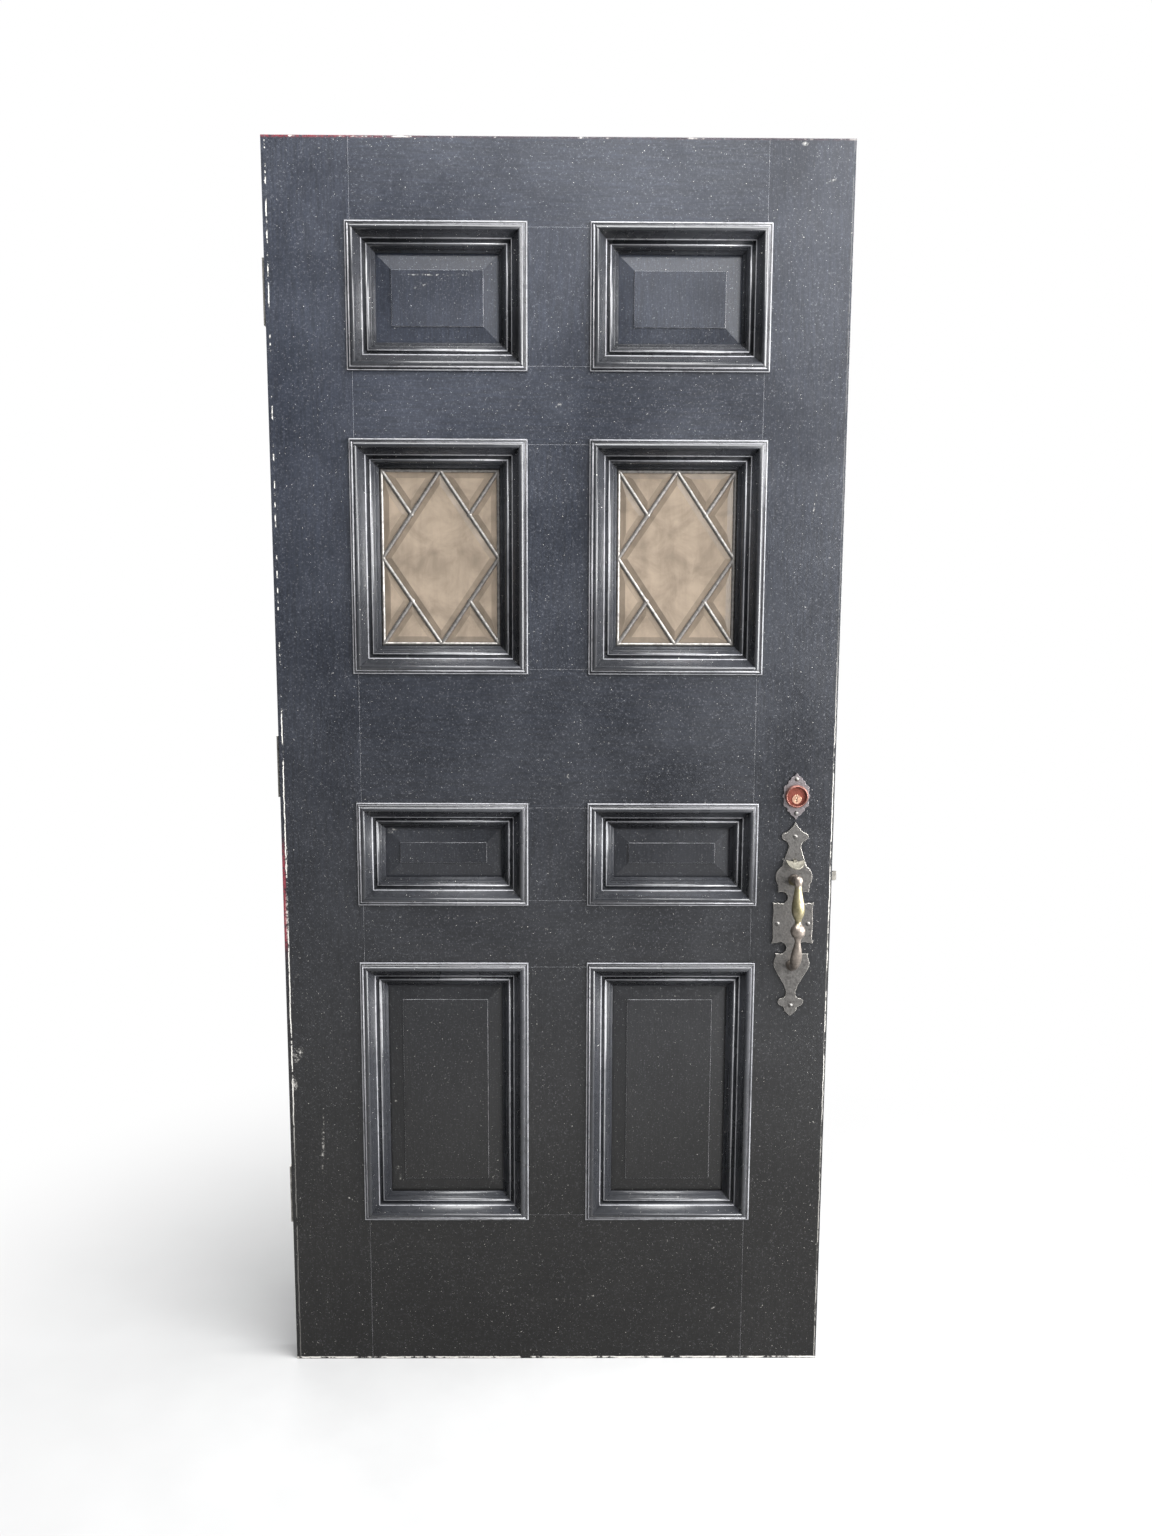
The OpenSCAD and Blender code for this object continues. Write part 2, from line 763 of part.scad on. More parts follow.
module grip() {
    grip_tilt = 8;
    foot_l = 6;
    foot_r = 10;
    bar_r = 7.8;
    post_r = 6.5;
    bend_r = grip_out - foot_l + 2;
    grip_face = front_y - plate_t;
    neck_z = lower_post_z + bend_r;
    neck_y = grip_face - grip_out - 1;
    ball_z = neck_z + grip_len * cos(grip_tilt);
    ball_y = neck_y + grip_len * sin(grip_tilt);
    post_run = grip_face - ball_y;
    post_drop = atan((ball_z - upper_post_z) / post_run);
    color(brass) {
        translate([lock_x, neck_y, neck_z]) rotate([-grip_tilt, 0, 0]) rotate_extrude() polygon(turned_half);
        translate([lock_x, ball_y, ball_z]) sphere(r = 8);
        translate([lock_x, ball_y, ball_z]) rotate([-90 - post_drop, 0, 0])
            cylinder(r1 = post_r - 1, r2 = post_r, h = post_run - 1);
        along_y(lock_x, grip_face - foot_l, upper_post_z)
            cylinder(r1 = post_r + 0.5, r2 = foot_r, h = foot_l);
        translate([lock_x, neck_y + bend_r, neck_z]) rotate([0, -90, 0]) rotate([0, 0, 180])
            rotate_extrude(angle = 90) translate([bend_r, 0]) circle(r = bar_r);
        along_y(lock_x, neck_y + bend_r - 0.5, lower_post_z)
            cylinder(r = bar_r - 0.1, h = grip_face - neck_y - bend_r + 0.5);
        along_y(lock_x, grip_face - foot_l, lower_post_z)
            cylinder(r1 = bar_r + 0.5, r2 = foot_r, h = foot_l);
    }
}

// ---- Latch ----

module latch_case() {
    color(steel) difference() {
        along_x(lock_x - case_back, 0, latch_z)
            cylinder(r = latch_case_r, h = backset + case_back - face_t);
        along_x(lock_x - case_back + case_wall, 0, latch_z)
            cylinder(r = latch_bolt_r + 2 * fit, h = backset + case_back);
        along_y(lock_x, -20, latch_z) cylinder(r = 6.4, h = 40);
    }
}

module faceplate(z, hole_r) {
    color(brass) difference() {
        translate([half_w, 0, z]) block([-face_t, -face_w / 2, -face_h / 2], [0, face_w / 2, face_h / 2]);
        along_x(half_w - 10, 0, z) cylinder(r = hole_r, h = 20);
        for (side = [-1, 1]) {
            along_x(half_w - 10, 0, z + side * face_screw_up) cylinder(r = screw_r + screw_play, h = 20);
            translate([half_w, 0, z + side * face_screw_up]) rotate([0, -90, 0]) countersink();
        }
    }
}

module faceplate_screws() {
    color(brass) face_screw_places() rotate([0, -90, 0]) wood_screw(plate_screw_l);
}

module latch_bolt() {
    inner_x = lock_x + 7 + latch_throw;
    color(brass) difference() {
        along_x(inner_x, 0, latch_z) cylinder(r = latch_bolt_r, h = half_w + latch_throw - inner_x);
        translate([half_w + latch_throw, 3, latch_z]) rotate([0, 0, 45])
            translate([-20, -20, -20]) cube([40, 20, 40]);
    }
}

module inside_rose() {
    color(brass) difference() {
        along_y(lock_x, back_y, latch_z) rotate_extrude()
            polygon([[0, 0], [32, 0], [32, 1.5], [27, rose_t], [0, rose_t]]);
        along_y(lock_x, back_y - cut, latch_z) cylinder(r = knob_bore_r + fit, h = 20);
        for (side = [-1, 1]) {
            along_y(lock_x, back_y - cut, latch_z + side * rod_up) cylinder(r = rod_r + screw_play, h = 20);
        }
    }
}

module inside_knob() {
    shank_end = 20;
    color(brass) difference() {
        along_y(lock_x, back_y, latch_z) rotate_extrude() polygon(concat(
            [[0, 0.5], [knob_bore_r, 0.5], [knob_bore_r, 8], [8, shank_end]],
            arc([knob_r - 9, shank_end + 9], 9, -90, 60, 6),
            [[10, shank_end + 22], [0, shank_end + 23]]
        ));
        translate([lock_x, back_y + 10, latch_z]) cube([spindle_a + 0.1, 24, spindle_a + 0.1], center = true);
    }
}

module spindle() {
    color(steel) block([lock_x - spindle_a / 2, -13, latch_z - spindle_a / 2],
        [lock_x + spindle_a / 2, back_y + 21.9, latch_z + spindle_a / 2]);
}

module through_bolts() {
    color(brass) for (side = [-1, 1]) {
        along_y(lock_x, front_y, latch_z + side * rod_up) {
            cylinder(r = rod_r, h = door_t + rose_t);
            translate([0, 0, door_t + rose_t]) cylinder(r1 = 3.6, r2 = 2.6, h = 1.6);
        }
        along_y(lock_x, cylinder_end, bolt_z + side * bolt_rod_up) {
            cylinder(r = bolt_rod_r, h = back_y - cylinder_end + rose_t);
            translate([0, 0, back_y - cylinder_end + rose_t]) cylinder(r1 = 3, r2 = 2.2, h = 1.6);
        }
    }
}

// ---- Deadbolt ----

// Right half of the deadbolt plate's outline, from its top down
bolt_plate_half = concat(
    [[0, 39], [3.2, 34], [8.5, 31], [10.2, 27], [14, 24.5], [14.2, 20.5]],
    arc([17.5, 14], 3.6, 90, -20, 5),
    arc([19, 0], 3.8, 70, -70, 6),
    arc([17.5, -14], 3.6, 20, -90, 5),
    [[14.2, -20.5], [14, -24.5], [10.2, -27], [8.5, -31], [3.2, -34], [0, -39]]
);

module deadbolt_plate() {
    color(iron) difference() {
        translate([lock_x, front_y, bolt_z]) rotate([90, 0, 0]) linear_extrude(bolt_plate_t)
            polygon(symmetric(bolt_plate_half));
        along_y(lock_x, front_y - 10, bolt_z) cylinder(r = cylinder_r + seat_gap, h = 20);
        for (p = bolt_plate_screws) {
            along_y(lock_x + p[0], front_y - 10, bolt_z + p[1]) cylinder(r = screw_r + screw_play, h = 20);
        }
    }
}

// The ring around the cylinder's body, with a rounded outer edge
module cylinder_collar() {
    color(copper) along_y(lock_x, front_y - bolt_plate_t, bolt_z) rotate([180, 0, 0])
        rotate_extrude() polygon([
            [cylinder_r + seat_gap, 0], [collar_r, 0], [collar_r, collar_h - 2.5],
            [collar_r - 1.6, collar_h], [collar_r - 2.6, collar_h],
            [cylinder_r + seat_gap, collar_h - 3]
        ]);
}

cylinder_face = front_y - bolt_plate_t - 2.5;

module cylinder_body() {
    color(copper) difference() {
        along_y(lock_x, cylinder_face, bolt_z) cylinder(r = cylinder_r, h = cylinder_end - cylinder_face);
        along_y(lock_x, cylinder_face - cut, bolt_z - plug_drop) cylinder(r = plug_r + fit, h = 60);
    }
}

module key_plug() {
    color(copper) difference() {
        along_y(lock_x, cylinder_face - 1.2, bolt_z - plug_drop)
            cylinder(r = plug_r, h = cylinder_end - cylinder_face + 1.2);
        block([lock_x - 0.8, cylinder_face - 3, bolt_z - plug_drop - 4.5],
            [lock_x + 0.8, cylinder_face + 14, bolt_z - plug_drop + 4]);
    }
}

module deadbolt_case() {
    color(steel) difference() {
        along_x(lock_x - case_back, 0, bolt_z)
            cylinder(r = bolt_case_r, h = backset + case_back - face_t);
        along_x(lock_x - case_back + case_wall, 0, bolt_z)
            cylinder(r = bolt_r + 2 * fit, h = backset + case_back);
        along_y(lock_x, -20, bolt_z) cylinder(r = 5, h = 40);
    }
}

module deadbolt_bolt() {
    inner_x = lock_x + 6;
    color(steel) along_x(inner_x, 0, bolt_z) cylinder(r = bolt_r, h = half_w - inner_x);
}

module thumbturn_rose() {
    color(brass) difference() {
        along_y(lock_x, back_y, bolt_z) rotate_extrude()
            polygon([[0, 0], [28, 0], [28, 1.5], [24, rose_t], [0, rose_t]]);
        along_y(lock_x, back_y - cut, bolt_z) cylinder(r = turn_bore_r + fit, h = 20);
        for (side = [-1, 1]) {
            along_y(lock_x, back_y - cut, bolt_z + side * bolt_rod_up)
                cylinder(r = bolt_rod_r + screw_play, h = 20);
        }
    }
}

module thumbturn() {
    color(brass) difference() {
        union() {
            along_y(lock_x, back_y + 0.5, bolt_z) cylinder(r = turn_bore_r, h = 10);
            along_y(lock_x, back_y + rose_t + 0.3, bolt_z) cylinder(r = 9, h = 4);
            intersection() {
                translate([lock_x, back_y + 18, bolt_z]) cube([6, 20, 40], center = true);
                along_x(lock_x - 5, back_y + 9, bolt_z) cylinder(r = 19, h = 10);
            }
        }
        translate([lock_x, back_y, bolt_z]) cube([2.6, 18, 6.6], center = true);
        along_y(lock_x, back_y - 30, bolt_z) cylinder(r = 30, h = 30.5);
        difference() {
            along_y(lock_x, back_y - 1, bolt_z) cylinder(r = 30, h = rose_t + 1.3);
            along_y(lock_x, back_y - 1, bolt_z) cylinder(r = turn_bore_r, h = 30);
        }
    }
}

module tailpiece() {
    color(steel) block([lock_x - 1.2, cylinder_end + 1.5, bolt_z - 3.2],
        [lock_x + 1.2, back_y + 9, bolt_z + 3.2]);
}

left_stile();
right_stile();
rail(RAILS[4]);  // top_rail
rail(RAILS[3]);  // frieze_rail
rail(RAILS[2]);  // lock_rail
rail(RAILS[1]);  // cross_rail
rail(RAILS[0]);  // bottom_rail
mullion(ROWS[3]);  // top_mullion
mullion(ROWS[2]);  // lite_mullion
mullion(ROWS[1]);  // middle_mullion
mullion(ROWS[0]);  // lower_mullion
frame_dowels();
panel(3, -1);  // top_left_panel
panel(3, 1);  // top_right_panel
panel(1, -1);  // middle_left_panel
panel(1, 1);  // middle_right_panel
panel(0, -1);  // lower_left_panel
panel(0, 1);  // lower_right_panel
moulding(3, -1);  // top_left_moulding
moulding(3, 1);  // top_right_moulding
moulding(2, -1);  // lite_left_moulding
moulding(2, 1);  // lite_right_moulding
moulding(1, -1);  // middle_left_moulding
moulding(1, 1);  // middle_right_moulding
moulding(0, -1);  // lower_left_moulding
moulding(0, 1);  // lower_right_moulding
lite_stop(-1);  // lite_left_stop
lite_stop(1);  // lite_right_stop
lite_came(-1);  // lite_left_came
lite_came(1);  // lite_right_came
lite_glass(-1);  // lite_left_glass
lite_glass(1);  // lite_right_glass
hinge_door_leaves();
hinge_jamb_leaves();
hinge_pins();
hinge_screws();
handle_plate();
plate_screws();
grip();
thumb_piece();
thumb_pivot_pin();
latch_case();
faceplate(latch_z, latch_bolt_r + 3 * fit);  // latch_faceplate
latch_bolt();
inside_rose();
inside_knob();
spindle();
through_bolts();
deadbolt_plate();
cylinder_collar();
cylinder_body();
key_plug();
deadbolt_case();
faceplate(bolt_z, bolt_r + 3 * fit);  // deadbolt_faceplate
deadbolt_bolt();
thumbturn_rose();
thumbturn();
tailpiece();
faceplate_screws();
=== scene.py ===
"""Finish of a weathered, black-painted entrance door leaf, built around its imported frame."""
import math

import bmesh
import bpy
from bpy.props import FloatProperty, FloatVectorProperty, PointerProperty
from mathutils import Matrix, Vector


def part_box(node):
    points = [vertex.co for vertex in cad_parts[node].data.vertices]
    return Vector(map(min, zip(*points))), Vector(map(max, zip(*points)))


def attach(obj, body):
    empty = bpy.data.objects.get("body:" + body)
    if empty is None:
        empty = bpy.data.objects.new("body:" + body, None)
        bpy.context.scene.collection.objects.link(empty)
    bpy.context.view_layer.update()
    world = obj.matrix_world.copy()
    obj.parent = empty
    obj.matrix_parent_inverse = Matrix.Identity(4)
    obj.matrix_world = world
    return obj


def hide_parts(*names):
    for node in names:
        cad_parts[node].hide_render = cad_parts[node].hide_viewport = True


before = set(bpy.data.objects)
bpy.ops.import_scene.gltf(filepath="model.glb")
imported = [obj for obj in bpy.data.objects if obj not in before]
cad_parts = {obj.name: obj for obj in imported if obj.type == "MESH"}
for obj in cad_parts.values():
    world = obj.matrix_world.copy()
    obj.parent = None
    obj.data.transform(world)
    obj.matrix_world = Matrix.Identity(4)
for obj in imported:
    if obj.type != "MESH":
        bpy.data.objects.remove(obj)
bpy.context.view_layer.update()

bl_info = {
    "name": "Weathered Entrance Door",
    "version": (1, 0, 0),
    "blender": (4, 5, 0),
    "location": "View3D > Sidebar > Door",
    "description": "Builds the finish of a weathered, panelled entrance door leaf",
    "category": "Object",
}

MM = 0.001

# ---- Places taken from the frame ----

STILE_LOW, STILE_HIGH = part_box("left_stile")
LEAF_HALF = -STILE_LOW.x
LEAF_HEIGHT = STILE_HIGH.z
FACE_Y = STILE_LOW.y
PLATE_LOW, PLATE_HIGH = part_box("handle_plate")
LOCK_X = (PLATE_LOW.x + PLATE_HIGH.x) / 2
PLATE_Y = PLATE_LOW.y
GRIP_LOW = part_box("grip")[0]
LOWER_POST_Z = GRIP_LOW.z + 10 * MM
THUMB_LOW, THUMB_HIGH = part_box("thumb_piece")
PIN_LOW, PIN_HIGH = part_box("thumb_pivot_pin")

RAILS = ("top_rail", "frieze_rail", "lock_rail", "cross_rail", "bottom_rail")
MULLIONS = ("top_mullion", "lite_mullion", "middle_mullion", "lower_mullion")
PANELS = tuple(f"{row}_{side}_panel" for row in ("top", "middle", "lower") for side in ("left", "right"))
MOULDINGS = tuple(
    f"{row}_{side}_moulding" for row in ("top", "lite", "middle", "lower") for side in ("left", "right")
)
STOPS = ("lite_left_stop", "lite_right_stop")


# ---- Settings ----


def length(name, description, millimetres):
    return FloatProperty(
        name=name, description=description, default=millimetres * MM, unit="LENGTH", precision=4
    )


def colour(name, description, rgb):
    return FloatVectorProperty(
        name=name, description=description, default=rgb, size=3, subtype="COLOR", min=0, max=1
    )


def share(name, description, value):
    return FloatProperty(name=name, description=description, default=value, min=0, max=1, subtype="FACTOR")


class PaintSettings(bpy.types.PropertyGroup):
    # Lower and upper paint: the leaf's colour runs from the one to the other up its height. This is painted
    # reflection and shade: lighter and bluer towards the head where the paint mirrors the sky, darker near
    # the floor.
    low: colour("Lower paint", "Paint near the floor, warm and dark", (0.0042, 0.004, 0.0038))
    high: colour("Upper paint", "Paint near the head, hazed by the sun", (0.0112, 0.0138, 0.0212))
    primer: colour("Primer", "Old primer where the paint is chipped", (0.62, 0.60, 0.56))
    old_coat: colour("Old coat", "Red coat under the black, at the top edge", (0.13, 0.018, 0.026))
    moulding: colour("Moulding paint", "Glossier coat on the mouldings", (0.019, 0.020, 0.023))
    # Worn paint: the pale colour of the rubbed edges. On the leaf's arrises it is partly real wear and partly
    # painted highlight; on the mouldings' raised lines it is painted highlight.
    worn: colour("Worn paint", "Paint rubbed thin along its edges", (0.46, 0.46, 0.485))
    dust: colour("Dust", "Pale dust caught in the brush grain", (0.12, 0.12, 0.13))
    gloss: share("Roughness", "Roughness of the sound paint", 0.38)
    moulding_gloss: share("Moulding roughness", "Roughness of the paint on the mouldings", 0.23)


class LiteSettings(bpy.types.PropertyGroup):
    lap: length("Covered edge", "Came hidden under the mouldings", 5)
    border_w: length("Border came", "Came that shows along the border", 6)
    came_w: length("Came", "Width of the inner came", 6.5)
    bevel_w: length("Bevel", "Width of the glass's bevel", 11)
    came: colour("Came metal", "Dull came", (0.20, 0.19, 0.18))
    # Tint of the glass: the tan is painted in to stand in for the dim room seen through it; its uneven
    # clouding is a real haze of dirt.
    film_and_room_tint: colour("Film", "Old film on the glass", (0.23, 0.185, 0.142))


class HardwareSettings(bpy.types.PropertyGroup):
    iron: colour("Blackened plate", "Handle's back plate", (0.12, 0.115, 0.11))
    brass: colour("Worn brass", "Grip's rubbed cone", (0.215, 0.19, 0.11))
    pewter: colour("Dull grip", "Grip where hands do not rub", (0.22, 0.19, 0.165))
    silver: colour("Silvered plate", "Deadbolt's plate", (0.25, 0.225, 0.232))
    copper: colour("Copper collar", "Cylinder collar", (0.25, 0.12, 0.10))
    plug: colour("Key plug", "Rubbed key plug", (0.70, 0.42, 0.30))
    steel: colour("Steel", "Hinges and lock cases", (0.25, 0.24, 0.22))


class StageSettings(bpy.types.PropertyGroup):
    floor: colour("Floor", "Pale floor", (0.27, 0.27, 0.27))
    lens: FloatProperty(
        name="Lens", description="Focal length in millimetres on a 36 mm wide frame", default=40.6
    )


# ---- Materials ----


class Finish:
    """A material whose nodes are added from left to right."""

    def __init__(self, name):
        self.material = bpy.data.materials.new(name)
        self.material.use_nodes = True
        self.tree = self.material.node_tree
        self.tree.nodes.clear()
        self.shader = self.add("BsdfPrincipled")
        self.output = self.add("OutputMaterial", Surface=self.shader.outputs[0])
        self.coordinates = self.add("TexCoord")
        self.place = self.coordinates.outputs["Object"]
        self.soft = None
        self.parts = self.add("SeparateXYZ", Vector=self.place).outputs

    def put(self, socket, value):
        if isinstance(value, bpy.types.NodeSocket):
            self.tree.links.new(value, socket)
        elif hasattr(value, "__len__") and len(socket.default_value) == 4:
            socket.default_value = (*value, 1)
        else:
            socket.default_value = value

    def add(self, kind, settings=(), **inputs):
        node = self.tree.nodes.new("ShaderNode" + kind)
        for key, value in dict(settings).items():
            setattr(node, key, value)
        for key, value in inputs.items():
            self.put(node.inputs[key.replace("_", " ")], value)
        return node

    def math(self, operation, first, second=0.5, third=0.5):
        node = self.add("Math", {"operation": operation})
        for socket, value in zip(node.inputs, (first, second, third)):
            self.put(socket, value)
        return node.outputs[0]

    def noise(self, scale, stretch=(1, 1, 1), detail=3, rough=0.55, distortion=0.0):
        place = self.add("Mapping", Vector=self.place, Scale=stretch).outputs[0]
        node = self.add(
            "TexNoise", Vector=place, Scale=scale, Detail=detail, Roughness=rough, Distortion=distortion
        )
        return node.outputs[0]

    def between(self, value, low, high, start=0.0, end=1.0):
        """start below low, end above high, smooth in between."""
        node = self.add("MapRange", {"interpolation_type": "SMOOTHSTEP"})
        numbers = {"Value": value, "From Min": low, "From Max": high, "To Min": start, "To Max": end}
        for key, number in numbers.items():
            self.put(node.inputs[key], number)
        return node.outputs[0]

    def mix(self, amount, first, second):
        node = self.add("Mix", {"data_type": "RGBA"})
        self.put(node.inputs[0], amount)
        self.put(node.inputs[6], first)
        self.put(node.inputs[7], second)
        return node.outputs[2]

    def scaled(self, tint, amount):
        """A colour times a number."""
        node = self.add("VectorMath", {"operation": "SCALE"})
        self.put(node.inputs[0], tint)
        self.put(node.inputs[3], amount)
        return node.outputs[0]

    def inwards(self):
        """How far a point lies in from the nearer face of the leaf."""
        return self.math("SUBTRACT", -FACE_Y, self.math("ABSOLUTE", self.parts[1]))

    def greatest(self, values):
        best = values[0]
        for value in values[1:]:
            best = self.math("MAXIMUM", best, value)
        return best

    def round_edges(self, radius):
        """Rounds the edges in shading. Gives 1 on edges within radius and 0 on flats."""
        self.soft = self.add("Bevel", {"samples": 2}, Radius=radius).outputs[0]
        dot = self.add("VectorMath", {"operation": "DOT_PRODUCT"})
        self.put(dot.inputs[0], self.soft)
        self.put(dot.inputs[1], self.add("NewGeometry").outputs["Normal"])
        return self.between(self.math("SUBTRACT", 1.0, dot.outputs["Value"]), 0.02, 0.22)

    def mark(self, x, z, along, across, turn):
        """A soft ellipse on the leaf's face: its middle, length, width (mm) and turn (degrees)."""
        node = self.add("Mapping", {"vector_type": "TEXTURE"}, Vector=self.place)
        node.inputs["Location"].default_value = (x * MM, 0, z * MM)
        node.inputs["Rotation"].default_value = (0, -math.radians(turn), 0)
        node.inputs["Scale"].default_value = (along / 2 * MM, 10, across / 2 * MM)
        ball = self.add("TexGradient", {"gradient_type": "SPHERICAL"}, Vector=node.outputs[0])
        return ball.outputs[1]

    def raise_by(self, height, distance, strength=1.0):
        node = self.add("Bump", Strength=strength, Distance=distance, Height=height)
        if self.soft:
            self.put(node.inputs["Normal"], self.soft)
        self.put(self.shader.inputs["Normal"], node.outputs[0])

    def finish(self, tint, roughness, metallic=0.0):
        self.put(self.shader.inputs["Base Color"], tint)
        self.put(self.shader.inputs["Roughness"], roughness)
        self.put(self.shader.inputs["Metallic"], metallic)
        return self.material


# Marks on the paint: middle x and z, length, width (mm), turn (degrees), share of primer showing
STILE_MARKS = (
    (409, 1476, 55, 3, 82, 0.5), (420, 1970, 18, 4, 20, 0.6), (378, 2024, 10, 6, 0, 0.8),
    (-442, 560, 34, 18, 60, 0.7), (-448, 510, 26, 10, 100, 0.8), (-402, 400, 110, 5, 88, 0.6),
    (-357, 300, 22, 3, -35, 0.6), (-452, 800, 90, 5, 90, 0.8), (-450, 900, 60, 5, 90, 0.7),
    (-436, 700, 14, 6, 30, 0.5), (-418, 585, 8, 8, 0, 0.5), (-289, 755, 7, 7, 0, 0.6),
)
RAIL_MARKS = (
    (143, 1975, 10, 4, 0, 0.5), (0, 1632, 12, 7, 30, 0.8), (15, 1040, 10, 9, 0, 0.5),
    (-62, 1632, 5, 4, 0, 0.6), (-7, 112, 150, 6, 2, 0.22), (378, 152, 32, 3, -12, 0.9),
    (273, 95, 12, 3, 30, 0.6), (-80, 104, 40, 3, -15, 0.35), (60, 118, 45, 3, 12, 0.35),
    (-20, 780, 9, 4, 10, 0.5), (120, 1130, 14, 2, 60, 0.3), (-205, 1098, 40, 2, 0, 0.35),
)
PANEL_MARKS = (
    (-111, 332, 42, 3, 68, 0.6), (-277, 350, 7, 7, 0, 0.7), (-277, 470, 6, 6, 0, 0.6),
    (-275, 948, 22, 12, 40, 0.6), (-157, 952, 6, 6, 0, 0.7), (-217, 1815, 26, 10, 10, 0.4),
    (-195, 1831, 120, 3, 0, 0.55), (-272, 332, 5, 12, 0, 0.6), (210, 660, 120, 3, 0, 0.4),
)
# Along and across the grain of a rail or a stile: how much the noise is stretched on X, Y and Z
GRAIN = {"rail": (1, 6, 14), "stile": (14, 6, 1)}
# Painted highlights along the mouldings' raised lines: distance from the outer edge, width (mm), share of the
# pale colour showing
MOULDING_HIGHLIGHT_LINES = ((1.4, 1.8, 0.5), (6.2, 2.0, 0.5), (25.2, 1.5, 0.5), (32.5, 2.0, 0.4))
# Heights above the grip's lower post between which its rubbed cone fades in, and out again (mm)
CONE_FOOT = (78, 92)
CONE_HEAD = (142, 150)
# How metallic the worn metals are
METALLIC = 0.9


def paint(name, settings, grain, marks=(), edge_wear_and_highlight=0.6, leaf_edges=True):
    """Old black paint: brush grain, a painted sheen that lightens and cools it towards the head, painted
    shade to one side, dust specks, edges rubbed pale (partly painted highlight) and chips down to the primer.
    """
    f = Finish(name)
    x, _, z = f.parts
    streaks = f.noise(26, GRAIN[grain], detail=6, rough=0.68)
    fine = f.noise(150, GRAIN[grain], detail=3, rough=0.6)
    patches = f.noise(4.5, detail=4, rough=0.6)
    dust = f.noise(380, detail=3, rough=0.75)
    # Painted reflection and shade: the paint runs lighter and bluer up the leaf, darker towards the floor.
    tone = f.mix(f.between(z, 0.2, 1.9), settings.low, settings.high)
    tone = f.scaled(tone, f.between(streaks, 0.25, 0.8, 0.7, 1.42))
    tone = f.scaled(tone, f.between(patches, 0.3, 0.72, 0.82, 1.25))
    tone = f.scaled(tone, f.between(dust, 0.35, 0.65, 0.78, 1.24))
    # Painted light and shade across the leaf: lighter on the hinge side, darker on the latch side.
    tone = f.scaled(tone, f.between(x, -LEAF_HALF, LEAF_HALF, 1.1, 0.9))
    dusty = f.math("MULTIPLY", f.between(dust, 0.59, 0.73), f.between(z, 0, 1, 0.45, 0.7))
    tone = f.mix(dusty, tone, settings.dust)
    # Edges within 1 mm turned pale: partly real rubbed paint, partly painted highlight on the arrises.
    rubbed = f.math("MULTIPLY", f.round_edges(1.0 * MM), f.between(f.noise(55, detail=4), 0.34, 0.6, 0.2, 1))
    tone = f.mix(f.math("MULTIPLY", rubbed, edge_wear_and_highlight), tone, settings.worn)
    chips = [f.between(f.noise(420, detail=2, rough=0.7), 0.715, 0.76)]
    flake = f.noise(210, detail=4, rough=0.75)
    chips += mark_chips(f, marks, flake)
    if leaf_edges:
        chips += edge_chips(f, x, z)
        tone = f.mix(old_coat_shown(f, x, z, flake), tone, settings.old_coat)
    chipped = f.greatest(chips)
    tone = f.mix(chipped, tone, f.scaled(settings.primer, f.between(fine, 0.2, 0.8, 0.7, 1.1)))
    relief = f.math("ADD", f.math("MULTIPLY", streaks, 0.5), f.math("MULTIPLY", fine, 0.22))
    relief = f.math("ADD", relief, f.math("MULTIPLY", dust, 0.1))
    relief = f.math("SUBTRACT", relief, f.math("MULTIPLY", chipped, 0.5))
    f.raise_by(relief, 0.7 * MM, 0.55)
    f.put(f.shader.inputs["Specular IOR Level"], f.between(z, 0, 0.8, 0.3, 0.5))
    sheen = f.between(patches, 0.3, 0.7, settings.gloss - 0.06, settings.gloss + 0.08)
    sheen = f.math("ADD", sheen, f.between(dust, 0.35, 0.65, -0.04, 0.05))
    return f.finish(tone, f.math("MAXIMUM", sheen, f.math("MULTIPLY", chipped, 0.8)))


def mark_chips(f, marks, flake):
    """Flaked spots, one for each mark."""
    chips = []
    for x, z, along, across, turn, shown in marks:
        spot = f.math("POWER", f.mark(x, z, along, across, turn), 0.4)
        torn = f.math("MULTIPLY", spot, f.between(flake, 0.66 - 0.3 * shown, 0.72, 0, 1))
        chips.append(f.math("MULTIPLY", torn, 0.4 + 0.6 * shown))
    return chips


def old_coat_shown(f, x, z, flake):
    """1 where the red coat shows, near the faces at the head's hinge end and on the hinge edge."""
    head = f.between(z, LEAF_HEIGHT - 5 * MM, LEAF_HEIGHT - 1 * MM)
    head = f.math("MULTIPLY", head, f.between(x, -0.42, -0.15, 1, 0.1))
    side = f.math("MULTIPLY", f.between(z, 0.72, 0.78), f.between(z, 0.88, 0.95, 1, 0))
    side = f.math("MULTIPLY", side, f.between(x, 4 * MM - LEAF_HALF, 6 * MM - LEAF_HALF, 1, 0))
    near_face = f.between(f.inwards(), 1 * MM, 9 * MM, 1, 0)
    shown = f.math("MULTIPLY", f.math("MAXIMUM", head, side), near_face)
    return f.math("MULTIPLY", shown, f.between(flake, 0.38, 0.52))


